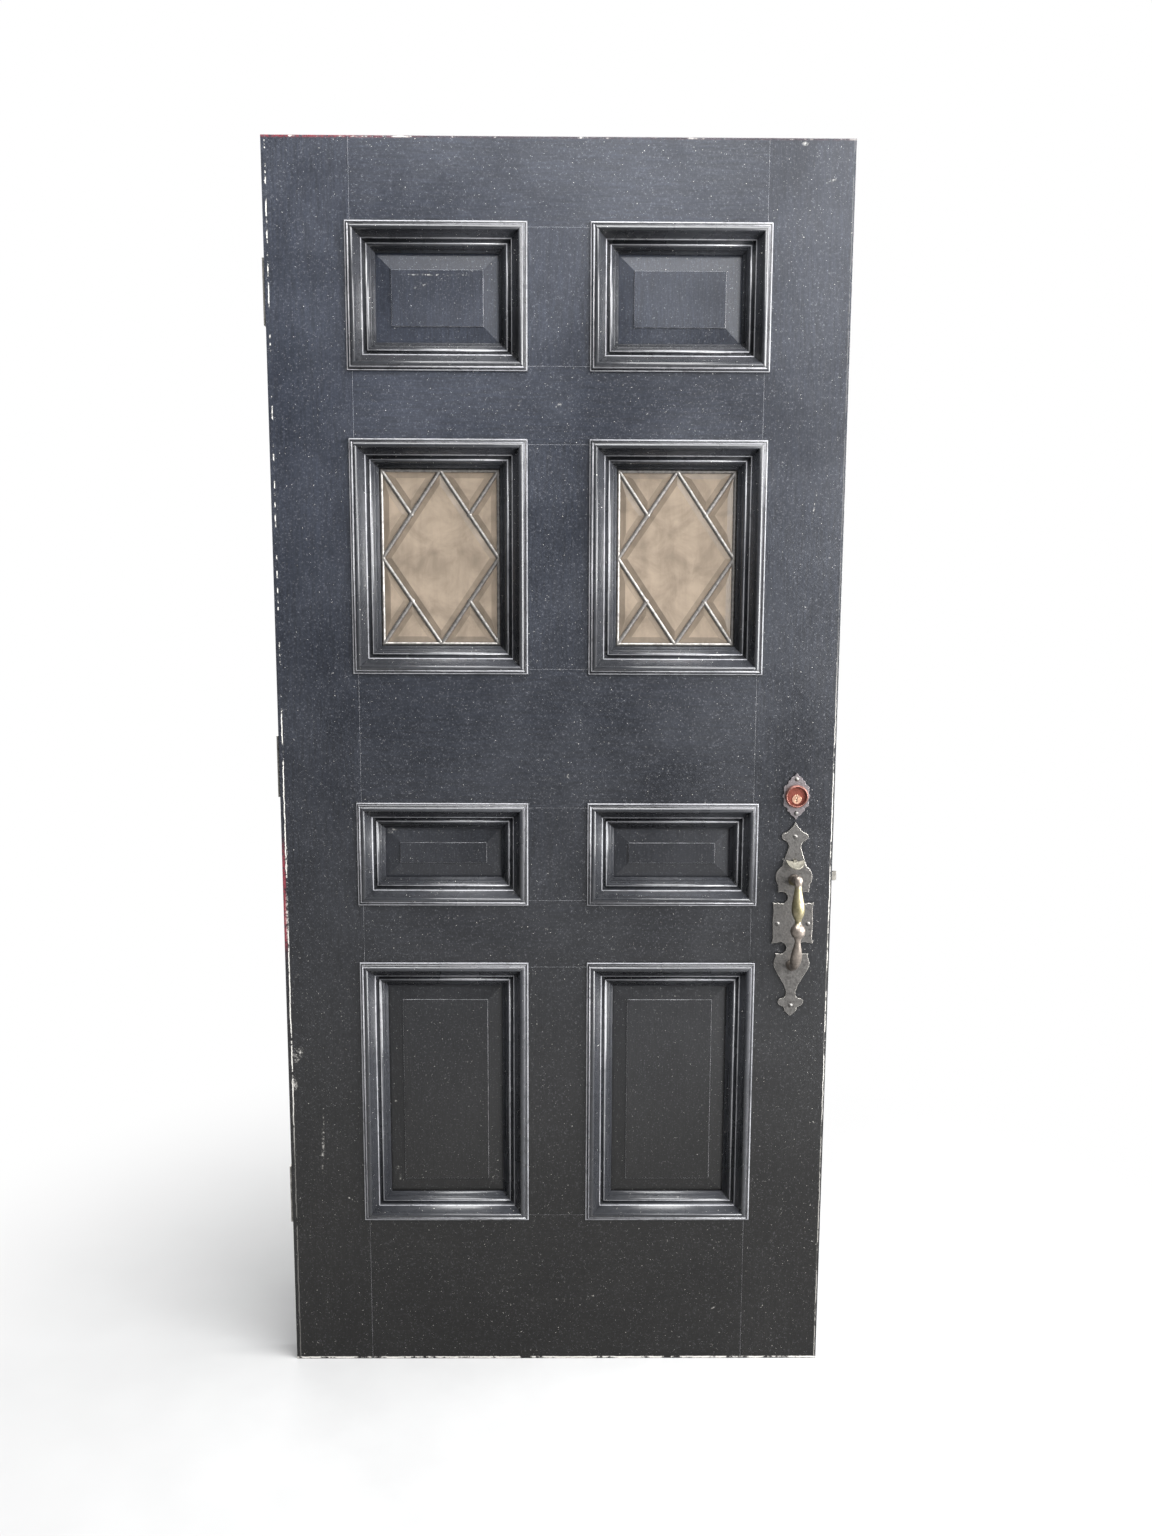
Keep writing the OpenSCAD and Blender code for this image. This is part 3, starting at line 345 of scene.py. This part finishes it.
def moulding_paint(settings):
    """Glossier black, with pale painted highlights along the raised lines."""
    f = Finish("moulding_paint")
    from_edge = f.add("Attribute", {"attribute_name": "from_edge"}).outputs["Fac"]
    uneven = f.noise(90, detail=4, rough=0.65)
    patches = f.noise(9, detail=3)
    tone = f.scaled(settings.moulding, f.between(uneven, 0.3, 0.75, 0.85, 1.2))
    lines = []
    for place, width, shown in MOULDING_HIGHLIGHT_LINES:
        off = f.math("ABSOLUTE", f.math("SUBTRACT", from_edge, place * MM))
        lines.append(f.math("MULTIPLY", f.between(off, 0.3 * width * MM, 0.6 * width * MM, 1, 0), shown))
    # Painted highlights: pale lines along the raised arrises, broken by noise.
    rubbed = f.math("MULTIPLY", f.greatest(lines), f.between(uneven, 0.3, 0.5, 0.55, 1))
    tone = f.mix(f.math("MULTIPLY", rubbed, f.between(patches, 0.3, 0.6, 0.5, 1)), tone, settings.worn)
    chipped = f.between(f.noise(420, detail=2, rough=0.7), 0.71, 0.76)
    tone = f.mix(chipped, tone, settings.primer)
    f.raise_by(uneven, 0.3 * MM, 0.25)
    gloss = settings.moulding_gloss
    return f.finish(tone, f.between(patches, 0.3, 0.7, gloss - 0.04, gloss + 0.08))


def edge_chips(f, x, z):
    """Broken pale lines just inside the leaf's edges, where the paint has come off the arris."""
    run = f.noise(24, detail=6, rough=0.78)
    inwards = f.inwards()
    wander = f.math("MULTIPLY", f.math("SUBTRACT", run, 0.5), 6 * MM)

    def line(distance, inset, width, amount):
        place = f.math("ADD", f.math("MAXIMUM", distance, inwards), wander)
        off = f.math("ABSOLUTE", f.math("SUBTRACT", place, inset * MM))
        return f.math("MULTIPLY", f.between(off, 0.25 * width * MM, 0.75 * width * MM, 1, 0), amount)

    left = f.math("ADD", x, LEAF_HALF)
    right = f.math("SUBTRACT", LEAF_HALF, x)
    top = f.math("SUBTRACT", LEAF_HEIGHT, z)
    hurt = f.between(z, 1.0, 1.3, 0.07, -0.04)
    broken = f.between(f.math("ADD", run, hurt), 0.49, 0.54)
    broken = f.math("MULTIPLY", broken, f.between(z, 0.36, 0.52, 0.12, 0.9))
    bare = f.math("MULTIPLY", f.between(z, 0.4, 0.55, 0.5, 1), f.between(z, 1.0, 1.3, 1, 0.12))
    held = f.math("MULTIPLY", bare, f.between(run, 0.42, 0.5, 0.1, 0.75))
    over = f.math("MULTIPLY", f.between(run, 0.52, 0.6), f.between(x, 0.05, 0.25, 0.9, 0.3))
    return [
        line(left, 6.5, 1.7, broken),
        line(right, 3.0, 1.5, held),
        line(top, 2.0, 1.8, over),
        line(z, 2.6, 2.6, f.between(run, 0.42, 0.5, 0, 0.85)),
    ]


def metal(name, tint, roughness, dark=0.45, scale=90, dent=0.25, rub=None, rub_amount=0.8, edge=0.7):
    """Cast or rolled metal with patina, small dents and rubbed edges."""
    f = Finish(name)
    patina = f.noise(scale, detail=5, rough=0.65)
    dents = f.noise(scale * 2.2, detail=2)
    tone = f.scaled(tint, f.between(patina, 0.3, 0.75, 1.25, dark))
    worn = f.math("MULTIPLY", f.round_edges(edge * MM), f.between(patina, 0.25, 0.6, 0.4, 1))
    rubbed = rub or tuple(min(1, channel * 2.2 + 0.05) for channel in tint)
    tone = f.mix(f.math("MULTIPLY", worn, rub_amount), tone, rubbed)
    f.raise_by(dents, dent * MM, 0.6)
    return f.finish(tone, f.between(patina, 0.3, 0.7, roughness - 0.08, roughness + 0.15), METALLIC)


def grip_finish(settings):
    """Brass rubbed bright on the cone, dull pewter brown lower down."""
    f = Finish("worn_grip")
    patina = f.noise(110, detail=5, rough=0.7)
    foot = [LOWER_POST_Z + height * MM for height in CONE_FOOT]
    head = [LOWER_POST_Z + height * MM for height in CONE_HEAD]
    rubbed = f.math("ADD", f.between(f.parts[2], *foot), f.between(patina, 0.35, 0.7, -0.35, 0.2))
    rubbed = f.between(rubbed, 0.0, 1.0)
    rubbed = f.math("MULTIPLY", rubbed, f.between(f.parts[2], *head, 1, 0))
    tone = f.mix(rubbed, settings.pewter, settings.brass)
    tone = f.scaled(tone, f.between(patina, 0.3, 0.75, 1.2, 0.55))
    f.raise_by(patina, 0.25 * MM, 0.5)
    return f.finish(tone, f.between(patina, 0.3, 0.7, 0.33, 0.5), METALLIC)


def glass_finish(settings):
    """Bevelled glass, tinted tan to stand in for the dim room seen through it, with uneven clouding of dirt
    and painted shade on its bevels.
    """
    f = Finish("filmed_glass_with_room_tint")
    cloud = f.noise(22, detail=5, rough=0.6, distortion=0.6)
    streak = f.noise(60, (1, 1, 0.15), detail=3)
    # Painted view: the tan tint stands in for the room behind the glass, clouded by dirt.
    tone = f.scaled(settings.film_and_room_tint, f.between(cloud, 0.3, 0.75, 1.15, 0.72))
    tone = f.scaled(tone, f.between(streak, 0.35, 0.7, 1.05, 0.9))
    f.raise_by(cloud, 0.15 * MM, 0.15)
    # Painted shade: the bevels' slopes are darkened to stand in for how they bend and reflect the light.
    facing = f.add("SeparateXYZ", Vector=f.coordinates.outputs["Normal"]).outputs["Y"]
    bevel_shade = f.between(f.math("ABSOLUTE", facing), 0.985, 0.999, 1, 0)
    tone = f.scaled(tone, f.between(bevel_shade, 0, 1, 1, 0.72))
    f.shader.inputs["Transmission Weight"].default_value = 0.35
    f.shader.inputs["IOR"].default_value = 1.5
    return f.finish(tone, f.between(cloud, 0.3, 0.75, 0.06, 0.2))


# ---- Pieces ----

QUARTERS = ((1, 1), (-1, 1), (-1, -1), (1, -1))
PANE_GAP = 1.1 * MM
PANE_BACK = 1.6 * MM
PANE_RIM = 1.6 * MM
BEVEL_RISE = 2.0 * MM
# A drop of solder's radius, as a share of the came's width and of its half thickness
SOLDER_SPREAD = 0.72
SOLDER_RISE = 0.99

# Stations of the grip: distance out from the plate, height above the lower post, radius (mm)
GRIP_BOW = (
    (0.2, 0, 9.6), (2.5, 0, 9.8), (5, 0, 9.0), (8, 0.2, 7.2), (12, 0.8, 6.2), (18, 2.2, 6.2),
    (26, 6, 7.2), (34, 12, 8.6), (41, 20, 9.5), (47, 29, 9.5), (51.5, 38, 8.2), (54, 46, 6.2),
    (54.8, 52, 4.9), (55.2, 57, 5.0), (55.3, 60, 5.8), (55.3, 63, 8.6), (55.2, 66, 11.0), (55.1, 69, 12.0),
    (55.0, 71, 11.7), (54.9, 72, 12.3), (54.7, 75, 12.4), (54.6, 76, 11.8), (54.4, 79, 11.0),
    (54.2, 82, 8.4), (53.9, 84, 6.0), (53.6, 86.5, 4.8), (53.3, 89, 5.0), (52.9, 92, 6.2), (52.2, 97, 9.0),
    (51.4, 103, 10.8), (50.3, 110, 11.2), (48.9, 118, 10.2), (47.3, 128, 8.2), (45.5, 138, 6.4),
    (44.2, 144, 5.5), (43.6, 147, 6.0), (43.0, 150, 7.2), (42.3, 154, 7.9), (41.5, 158, 7.2),
    (40.9, 161, 5.2), (40.6, 162.4, 2.2), (40.5, 162.8, 0.3),
)
GRIP_POST = (
    (0.2, 147, 9.8), (2, 147, 9.6), (4.5, 147.2, 8.4), (7, 147.4, 6.6), (12, 148, 5.8), (20, 149.5, 5.6),
    (30, 151.6, 5.4), (40, 153.6, 5.0),
)
# Stations nearer the plate than this (mm) are feet, and don't limit the grip's reach
GRIP_FEET = 20


def add_piece(name, shape, material, body, replaced=(), smooth_under=40):
    """Makes an object of a bmesh, gives it its material and seats it on a body."""
    bmesh.ops.recalc_face_normals(shape, faces=shape.faces)
    mesh = bpy.data.meshes.new(name)
    shape.to_mesh(mesh)
    shape.free()
    mesh.polygons.foreach_set("use_smooth", [True] * len(mesh.polygons))
    mesh.set_sharp_from_angle(angle=math.radians(smooth_under))
    mesh.materials.append(material)
    piece = bpy.data.objects.new(name, mesh)
    bpy.context.scene.collection.objects.link(piece)
    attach(piece, body)
    if replaced:
        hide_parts(*replaced)
    return piece


def finish_nodes(names, material):
    for name in names:
        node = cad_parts[name]
        node.data.materials.clear()
        node.data.materials.append(material)


def merged_copy(name):
    """A copy of a frame node's mesh with its corners joined."""
    shape = bmesh.new()
    shape.from_mesh(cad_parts[name].data)
    bmesh.ops.remove_doubles(shape, verts=shape.verts, dist=0.01 * MM)
    return shape


def loft(shape, stations, sides=24):
    """A closed round bar through stations of (place, direction, radius)."""
    ring = bmesh.ops.create_circle(shape, cap_ends=True, segments=sides, radius=1)["verts"]

    def pose(place, direction, radius):
        turn = Vector((0, 0, 1)).rotation_difference(Vector(direction).normalized()).to_matrix().to_4x4()
        return Matrix.Translation(place) @ turn @ Matrix.Diagonal((radius, radius, radius, 1))

    current = pose(*stations[0])
    bmesh.ops.transform(shape, matrix=current, verts=ring)
    face = ring[0].link_faces[0]
    for place, direction, radius in stations[1:]:
        result = bmesh.ops.extrude_face_region(shape, geom=[face])
        verts = [item for item in result["geom"] if isinstance(item, bmesh.types.BMVert)]
        new_faces = [item for item in result["geom"] if isinstance(item, bmesh.types.BMFace)]
        following = pose(place, direction, radius)
        bmesh.ops.transform(shape, matrix=following @ current.inverted(), verts=verts)
        if face.is_valid:
            bmesh.ops.delete(shape, geom=[face], context="FACES_ONLY")
        face = new_faces[0]
        current = following
    return shape


class DOOR_OT_leaf(bpy.types.Operator):
    """Paints the stiles, rails, mullions, panels, mouldings and stops"""

    bl_idname = "door.leaf"
    bl_label = "Painted Leaf"

    def execute(self, context):
        settings = context.scene.door_paint
        finish_nodes(("left_stile", "right_stile"), paint("stile_paint", settings, "stile", STILE_MARKS, 0.5))
        finish_nodes(MULLIONS, paint("mullion_paint", settings, "stile", (), 0.5, leaf_edges=False))
        finish_nodes(RAILS, paint("rail_paint", settings, "rail", RAIL_MARKS, 0.5))
        finish_nodes(PANELS, paint("panel_paint", settings, "stile", PANEL_MARKS, 0.8, leaf_edges=False))
        moulded = moulding_paint(settings)
        for name in MOULDINGS + STOPS:
            strips = merged_copy(name)
            self.measure_from_edge(strips, *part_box(name))
            add_piece(f"{name}_strips", strips, moulded, "leaf", (name,), 35)
        return {"FINISHED"}

    def measure_from_edge(self, strips, low, high):
        """Stores each corner's distance from the moulding's outer edge."""
        middle, half = (low + high) / 2, (high - low) / 2
        layer = strips.verts.layers.float.new("from_edge")
        for vert in strips.verts:
            offset = vert.co - middle
            vert[layer] = min(half.x - abs(offset.x), half.z - abs(offset.z))


class DOOR_OT_lites(bpy.types.Operator):
    """Makes the came nets and the bevelled glass of the two lites"""

    bl_idname = "door.lites"
    bl_label = "Leaded Lites"

    def execute(self, context):
        settings = context.scene.door_lites
        came = metal("came_metal", tuple(settings.came), 0.4, dark=0.5, scale=160, dent=0.2)
        glass = glass_finish(settings)
        for side in ("left", "right"):
            self.make_lite(settings, side, came, glass)
        return {"FINISHED"}

    def make_lite(self, settings, side, came, glass):
        low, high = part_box(f"lite_{side}_came")
        middle = (low + high) / 2
        half_w = (high.x - low.x) / 2 - settings.lap - settings.border_w / 2
        half_h = (high.z - low.z) / 2 - settings.lap - settings.border_w / 2

        def spot(across, up):
            """A place on the lite, from -1 to 1 both ways."""
            return Vector((middle.x + across * half_w, middle.y, middle.z + up * half_h))

        shape = bmesh.new()
        thick = (high.y - low.y) / 2
        for start, end in (((-1, -1), (1, -1)), ((1, -1), (1, 1)), ((1, 1), (-1, 1)), ((-1, 1), (-1, -1))):
            came_bar(shape, spot(*start), spot(*end), settings.border_w, thick)
        for across, up in QUARTERS:
            came_bar(shape, spot(across, 0), spot(0, up), settings.came_w, thick)
            came_bar(shape, spot(across / 2, up / 2), spot(across, up), settings.came_w, thick)
            for joint in ((across, 0), (0, up), (across / 2, up / 2), (across, up)):
                solder(shape, spot(*joint), settings.came_w, thick)
        add_piece(f"came_net_{side}", shape, came, "leaf", (f"lite_{side}_came",))

        shape = bmesh.new()
        outlines = [[spot(1, 0), spot(0, 1), spot(-1, 0), spot(0, -1)]]
        for across, up in QUARTERS:
            outlines.append([spot(across, up), spot(0, up), spot(across / 2, up / 2)])
            outlines.append([spot(across, up), spot(across, 0), spot(across / 2, up / 2)])
        for outline in outlines:
            bevelled_pane(shape, outline, settings.bevel_w)
        stood_for = (f"lite_{side}_glass",)
        add_piece(f"bevelled_glass_{side}", shape, glass, "leaf", stood_for, 4)


def came_bar(shape, start, end, width, half_thick):
    """A came between two points: a flattened half-round bar."""
    along = end - start
    made = bmesh.ops.create_cone(shape, cap_ends=True, segments=16, radius1=1, radius2=1, depth=1)
    turn = math.atan2(along.x, along.z)
    matrix = (
        Matrix.Translation((start + end) / 2)
        @ Matrix.Rotation(turn, 4, "Y")
        @ Matrix.Diagonal((width / 2, half_thick, along.length, 1))
    )
    bmesh.ops.transform(shape, matrix=matrix, verts=made["verts"])


def solder(shape, place, width, half_thick):
    """A flattened drop of solder on a joint."""
    made = bmesh.ops.create_uvsphere(shape, u_segments=16, v_segments=8, radius=1)
    spread = width * SOLDER_SPREAD
    size = Matrix.Diagonal((spread, half_thick * SOLDER_RISE, spread, 1))
    bmesh.ops.transform(shape, matrix=Matrix.Translation(place) @ size, verts=made["verts"])


def bevelled_pane(shape, outline, bevel_w):
    """A pane with a bevel around its front, flat at the back."""
    back = Vector((0, PANE_BACK, 0))
    face = shape.faces.new([shape.verts.new(corner + back) for corner in outline])
    face.normal_update()
    ring = bmesh.ops.inset_individual(shape, faces=[face], thickness=PANE_GAP, use_even_offset=True)["faces"]
    bmesh.ops.delete(shape, geom=ring, context="FACES")
    made = bmesh.ops.extrude_face_region(shape, geom=[face])
    corners = [item for item in made["geom"] if isinstance(item, bmesh.types.BMVert)]
    front = [item for item in made["geom"] if isinstance(item, bmesh.types.BMFace)]
    bmesh.ops.translate(shape, verts=corners, vec=(0, -PANE_RIM, 0))
    bmesh.ops.inset_region(shape, faces=front, thickness=bevel_w, use_even_offset=True)
    inner = {corner for face in front for corner in face.verts}
    bmesh.ops.translate(shape, verts=list(inner), vec=(0, -BEVEL_RISE, 0))


class DOOR_OT_handle(bpy.types.Operator):
    """Finishes the back plate and its screws, and makes the grip and the thumb piece"""

    bl_idname = "door.handle"
    bl_label = "Handle"

    def execute(self, context):
        settings = context.scene.door_hardware
        # The plate's pale rubbed rim is partly real wear, partly a painted highlight on its raised edge.
        iron = metal(
            "blackened_plate", tuple(settings.iron), 0.45, dark=0.5, scale=120, dent=0.8,
            rub=(0.75, 0.72, 0.66), rub_amount=0.9, edge=1.8,
        )
        finish_nodes(("handle_plate",), iron)
        finish_nodes(("plate_screws",), metal("screw_iron", tuple(settings.iron), 0.4, dark=0.6, scale=200))
        self.make_grip(settings)
        self.make_thumb_piece()
        return {"FINISHED"}

    def make_thumb_piece(self):
        """A dished, half-round pad on an arm that passes through the plate."""
        shape = bmesh.new()
        self.make_pad(shape)
        self.make_arm(shape)
        brass = metal("thumb_brass", (0.19, 0.18, 0.15), 0.5, dark=0.6, scale=140, dent=0.25)
        add_piece("thumb_dish", shape, brass, "thumb", ("thumb_piece",), 50)

    def make_pad(self, shape):
        half_w = (THUMB_HIGH.x - THUMB_LOW.x) * 0.44
        back = Vector((LOCK_X, THUMB_LOW.y + 20.5 * MM, THUMB_HIGH.z - 4.6 * MM))
        reach, drop, dish, tip_rise = 17.5 * MM, 9.5 * MM, 2.8 * MM, 1.4 * MM
        columns, rows = 20, 9
        # The last row stops just short of the tip, so that its faces have a width
        last = math.pi / 2 * 0.985
        grid = []
        for row in range(rows + 1):
            far = math.sin(row / rows * last)
            width = half_w * math.sqrt(1 - far * far)
            line = []
            for column in range(columns + 1):
                side = column / columns * 2 - 1
                lift = dish * (side * width / half_w) ** 2 + tip_rise * far**4
                line.append(shape.verts.new(back + Vector((side * width, -reach * far, lift - drop * far))))
            grid.append(line)
        for low, high in zip(grid, grid[1:]):
            for i in range(columns):
                shape.faces.new((low[i], low[i + 1], high[i + 1], high[i]))
        bmesh.ops.recalc_face_normals(shape, faces=shape.faces)
        if sum(face.normal.z for face in shape.faces) < 0:
            bmesh.ops.reverse_faces(shape, faces=shape.faces)
        bmesh.ops.solidify(shape, geom=list(shape.faces), thickness=1.9 * MM)

    def make_arm(self, shape):
        width, thickness = 5.6 * MM, 3.8 * MM
        arm = bmesh.ops.create_cube(shape, size=1)["verts"]
        start, end = THUMB_LOW.y + 18 * MM, THUMB_HIGH.y
        middle = Vector((LOCK_X, (start + end) / 2, (PIN_LOW.z + PIN_HIGH.z) / 2))
        size = Matrix.Diagonal((width, end - start, thickness, 1))
        bmesh.ops.transform(shape, matrix=Matrix.Translation(middle) @ size, verts=arm)

    def make_grip(self, settings):
        """A turned bow and its upper post, no further out than the frame's grip."""
        shape = bmesh.new()
        room = PLATE_Y - GRIP_LOW.y
        nearer = min((room - radius * MM) / out for out, _, radius in GRIP_BOW if out > GRIP_FEET)
        for stations in (GRIP_BOW, GRIP_POST):
            loft(shape, list(self.placed(stations, nearer)))
        grip = add_piece("grip_bow", shape, grip_finish(settings), "leaf", ("grip",), 60)
        rounded = grip.modifiers.new("Rounded", "SUBSURF")
        rounded.levels = rounded.render_levels = 1

    def placed(self, stations, nearer):
        """Each station's place, direction and radius."""
        points = [Vector((LOCK_X, PLATE_Y - out * nearer, LOWER_POST_Z + up * MM)) for out, up, _ in stations]
        for i, point in enumerate(points):
            direction = points[min(i + 1, len(points) - 1)] - points[max(i - 1, 0)]
            yield point, direction, stations[i][2] * MM


class DOOR_OT_deadbolt(bpy.types.Operator):
    """Finishes the deadbolt's plate, collar, cylinder and plug"""

    bl_idname = "door.deadbolt"
    bl_label = "Deadbolt"

    def execute(self, context):
        settings = context.scene.door_hardware
        silver = metal("silvered_plate", tuple(settings.silver), 0.35, dark=0.45, scale=150, dent=0.5)
        finish_nodes(("deadbolt_plate",), silver)
        finish_nodes(("cylinder_collar",), metal("copper_collar", tuple(settings.copper), 0.35, dark=0.55))
        finish_nodes(("cylinder_body",), metal("copper_face", (0.20, 0.06, 0.045), 0.45, dark=0.45))
        finish_nodes(("key_plug",), metal("rubbed_plug", tuple(settings.plug), 0.28, dark=0.8))
        return {"FINISHED"}


class DOOR_OT_inside(bpy.types.Operator):
    """Finishes the hinges, lock cases, faceplates and the inside knob and thumbturn"""

    bl_idname = "door.inside"
    bl_label = "Inside and Edge Hardware"

    def execute(self, context):
        settings = context.scene.door_hardware
        steel = metal("dull_steel", tuple(settings.steel), 0.42, dark=0.5, scale=120)
        dull = metal("dull_brass", (0.40, 0.31, 0.17), 0.38, dark=0.5, scale=100)
        finish_nodes(("hinge_door_leaves", "hinge_jamb_leaves", "hinge_pins", "hinge_screws"), steel)
        finish_nodes(("latch_case", "deadbolt_case", "deadbolt_bolt"), steel)
        finish_nodes(("spindle", "tailpiece", "thumb_pivot_pin"), steel)
        dark_steel = metal("dark_steel", (0.10, 0.095, 0.085), 0.5, dark=0.6, rub_amount=0.3)
        finish_nodes(("latch_bolt",), dark_steel)
        finish_nodes(("inside_rose", "inside_knob", "thumbturn_rose", "thumbturn"), dull)
        finish_nodes(("latch_faceplate", "deadbolt_faceplate", "faceplate_screws", "through_bolts"), dull)
        finish_nodes(("frame_dowels",), bare_wood())
        return {"FINISHED"}


def bare_wood():
    """Pale, unpainted wood with its rings."""
    f = Finish("bare_wood")
    rings = f.noise(60, (0.3, 3, 3), detail=4)
    f.raise_by(rings, 0.3 * MM)
    return f.finish(f.scaled((0.5, 0.36, 0.22), f.between(rings, 0.3, 0.7, 0.8, 1.15)), 0.7)


# The lamps: name, place and target (m), size (m), power (W)
LAMPS = (
    ("right_sky", (2.9, -0.7, 1.7), (0, -0.3, 1.2), 2.6, 430),
    ("side_sky", (3.1, -2.9, 2.1), (0, 0, 1.5), 2.4, 170),
    ("high_sky", (0.4, -1.4, 4.3), (0, -0.3, 1.0), 3.0, 400),
    ("front_sky", (1.6, -4.6, 3.6), (0, 0, 1.4), 2.2, 35),
    ("back_sky", (-1.5, 3.6, 3.0), (0, 0, 1.0), 2.0, 110),
)
# What the sky lights the door with
SKY_TINT = (0.93, 0.96, 1)
SKY_STRENGTH = 0.3
# From the middle of the floor to its sides (m)
FLOOR_REACH = 6
# The camera's place (m) and its turn about X, Y and Z (degrees)
CAMERA_PLACE = (10.5 * MM, FACE_Y - 2112.3 * MM, 1373.4 * MM)
CAMERA_TURN = (81.397, -0.229, -0.487)
SENSOR_WIDTH = 36


class DOOR_OT_stage(bpy.types.Operator):
    """Makes the floor, the lamps, the world and the camera"""

    bl_idname = "door.stage"
    bl_label = "Stage"

    def execute(self, context):
        settings = context.scene.door_stage
        scene = context.scene
        scene.view_settings.view_transform = "Standard"
        shape = bmesh.new()
        bmesh.ops.create_grid(shape, x_segments=1, y_segments=1, size=FLOOR_REACH)
        mesh = bpy.data.meshes.new("floor")
        shape.to_mesh(mesh)
        shape.free()
        floor = bpy.data.objects.new("floor", mesh)
        scene.collection.objects.link(floor)
        mesh.materials.append(self.floor_finish(settings))
        self.make_world(scene)
        for lamp in LAMPS:
            self.make_lamp(*lamp)
        self.make_camera(scene, settings)
        return {"FINISHED"}

    def floor_finish(self, settings):
        """Pale floor. The camera sees it fade to white away from the door."""
        f = Finish("pale_floor")
        path = f.add("LightPath").outputs
        seen = f.greatest([path["Is Camera Ray"], path["Is Transmission Ray"]])
        grain = f.noise(8, detail=3)
        f.finish(f.scaled(settings.floor, f.between(grain, 0.2, 0.8, 0.97, 1.03)), 0.9)
        away = f.add("VectorMath", {"operation": "LENGTH"}, Vector=f.place).outputs["Value"]
        white = f.add("Emission", Color=(1, 1, 1), Strength=1.0)
        blended = f.add("MixShader")
        f.put(blended.inputs[0], f.math("MULTIPLY", seen, f.between(away, 0.35, 1.5)))
        f.put(blended.inputs[1], f.shader.outputs[0])
        f.put(blended.inputs[2], white.outputs[0])
        f.put(f.output.inputs[0], blended.outputs[0])
        return f.material

    def make_world(self, scene):
        """White to the camera and through the glass, and a dim, cool sky to everything else."""
        world = bpy.data.worlds.new("plain_sky")
        scene.world = world
        world.use_nodes = True
        tree = world.node_tree
        tree.nodes.clear()
        output = tree.nodes.new("ShaderNodeOutputWorld")
        backgrounds = []
        for tint, strength in (((1, 1, 1), 1.0), (SKY_TINT, SKY_STRENGTH)):
            background = tree.nodes.new("ShaderNodeBackground")
            background.inputs["Color"].default_value = (*tint, 1)
            background.inputs["Strength"].default_value = strength
            backgrounds.append(background)
        seen, lit = backgrounds
        path = tree.nodes.new("ShaderNodeLightPath")
        mixed = tree.nodes.new("ShaderNodeMixShader")
        rays = tree.nodes.new("ShaderNodeMath")
        rays.operation = "MAXIMUM"
        tree.links.new(path.outputs["Is Camera Ray"], rays.inputs[0])
        tree.links.new(path.outputs["Is Transmission Ray"], rays.inputs[1])
        tree.links.new(rays.outputs[0], mixed.inputs[0])
        tree.links.new(lit.outputs[0], mixed.inputs[1])
        tree.links.new(seen.outputs[0], mixed.inputs[2])
        tree.links.new(mixed.outputs[0], output.inputs[0])

    def make_lamp(self, name, place, target, size, power):
        lamp = bpy.data.lights.new(name, "AREA")
        lamp.size = size
        lamp.energy = power
        holder = bpy.data.objects.new(name, lamp)
        holder.location = place
        holder.rotation_euler = (Vector(target) - Vector(place)).to_track_quat("-Z", "Y").to_euler()
        bpy.context.scene.collection.objects.link(holder)

    def make_camera(self, scene, settings):
        data = bpy.data.cameras.new("camera")
        data.sensor_fit = "HORIZONTAL"
        data.sensor_width = SENSOR_WIDTH
        data.lens = settings.lens
        camera = bpy.data.objects.new("camera", data)
        camera.location = CAMERA_PLACE
        camera.rotation_euler = [math.radians(angle) for angle in CAMERA_TURN]
        scene.collection.objects.link(camera)
        scene.camera = camera


OPERATORS = (DOOR_OT_leaf, DOOR_OT_lites, DOOR_OT_handle, DOOR_OT_deadbolt, DOOR_OT_inside, DOOR_OT_stage)


class DOOR_PT_panel(bpy.types.Panel):
    """A button for each part of the door, and its settings"""

    bl_label = "Weathered Door"
    bl_idname = "DOOR_PT_panel"
    bl_space_type = "VIEW_3D"
    bl_region_type = "UI"
    bl_category = "Door"

    def draw(self, context):
        for operator in OPERATORS:
            self.layout.operator(operator.bl_idname)
        for group in ("door_paint", "door_lites", "door_hardware", "door_stage"):
            settings = getattr(context.scene, group)
            for key in settings.__annotations__:
                self.layout.prop(settings, key)


GROUPS = {
    "door_paint": PaintSettings,
    "door_lites": LiteSettings,
    "door_hardware": HardwareSettings,
    "door_stage": StageSettings,
}


def register():
    for kind in (*GROUPS.values(), *OPERATORS, DOOR_PT_panel):
        bpy.utils.register_class(kind)
    for name, kind in GROUPS.items():
        setattr(bpy.types.Scene, name, PointerProperty(type=kind))


def unregister():
    for name in GROUPS:
        delattr(bpy.types.Scene, name)
    for kind in reversed((*GROUPS.values(), *OPERATORS, DOOR_PT_panel)):
        bpy.utils.unregister_class(kind)


def main():
    register()
    bpy.ops.door.leaf()
    bpy.ops.door.lites()
    bpy.ops.door.handle()
    bpy.ops.door.deadbolt()
    bpy.ops.door.inside()
    bpy.ops.door.stage()


if __name__ == "__main__":
    main()
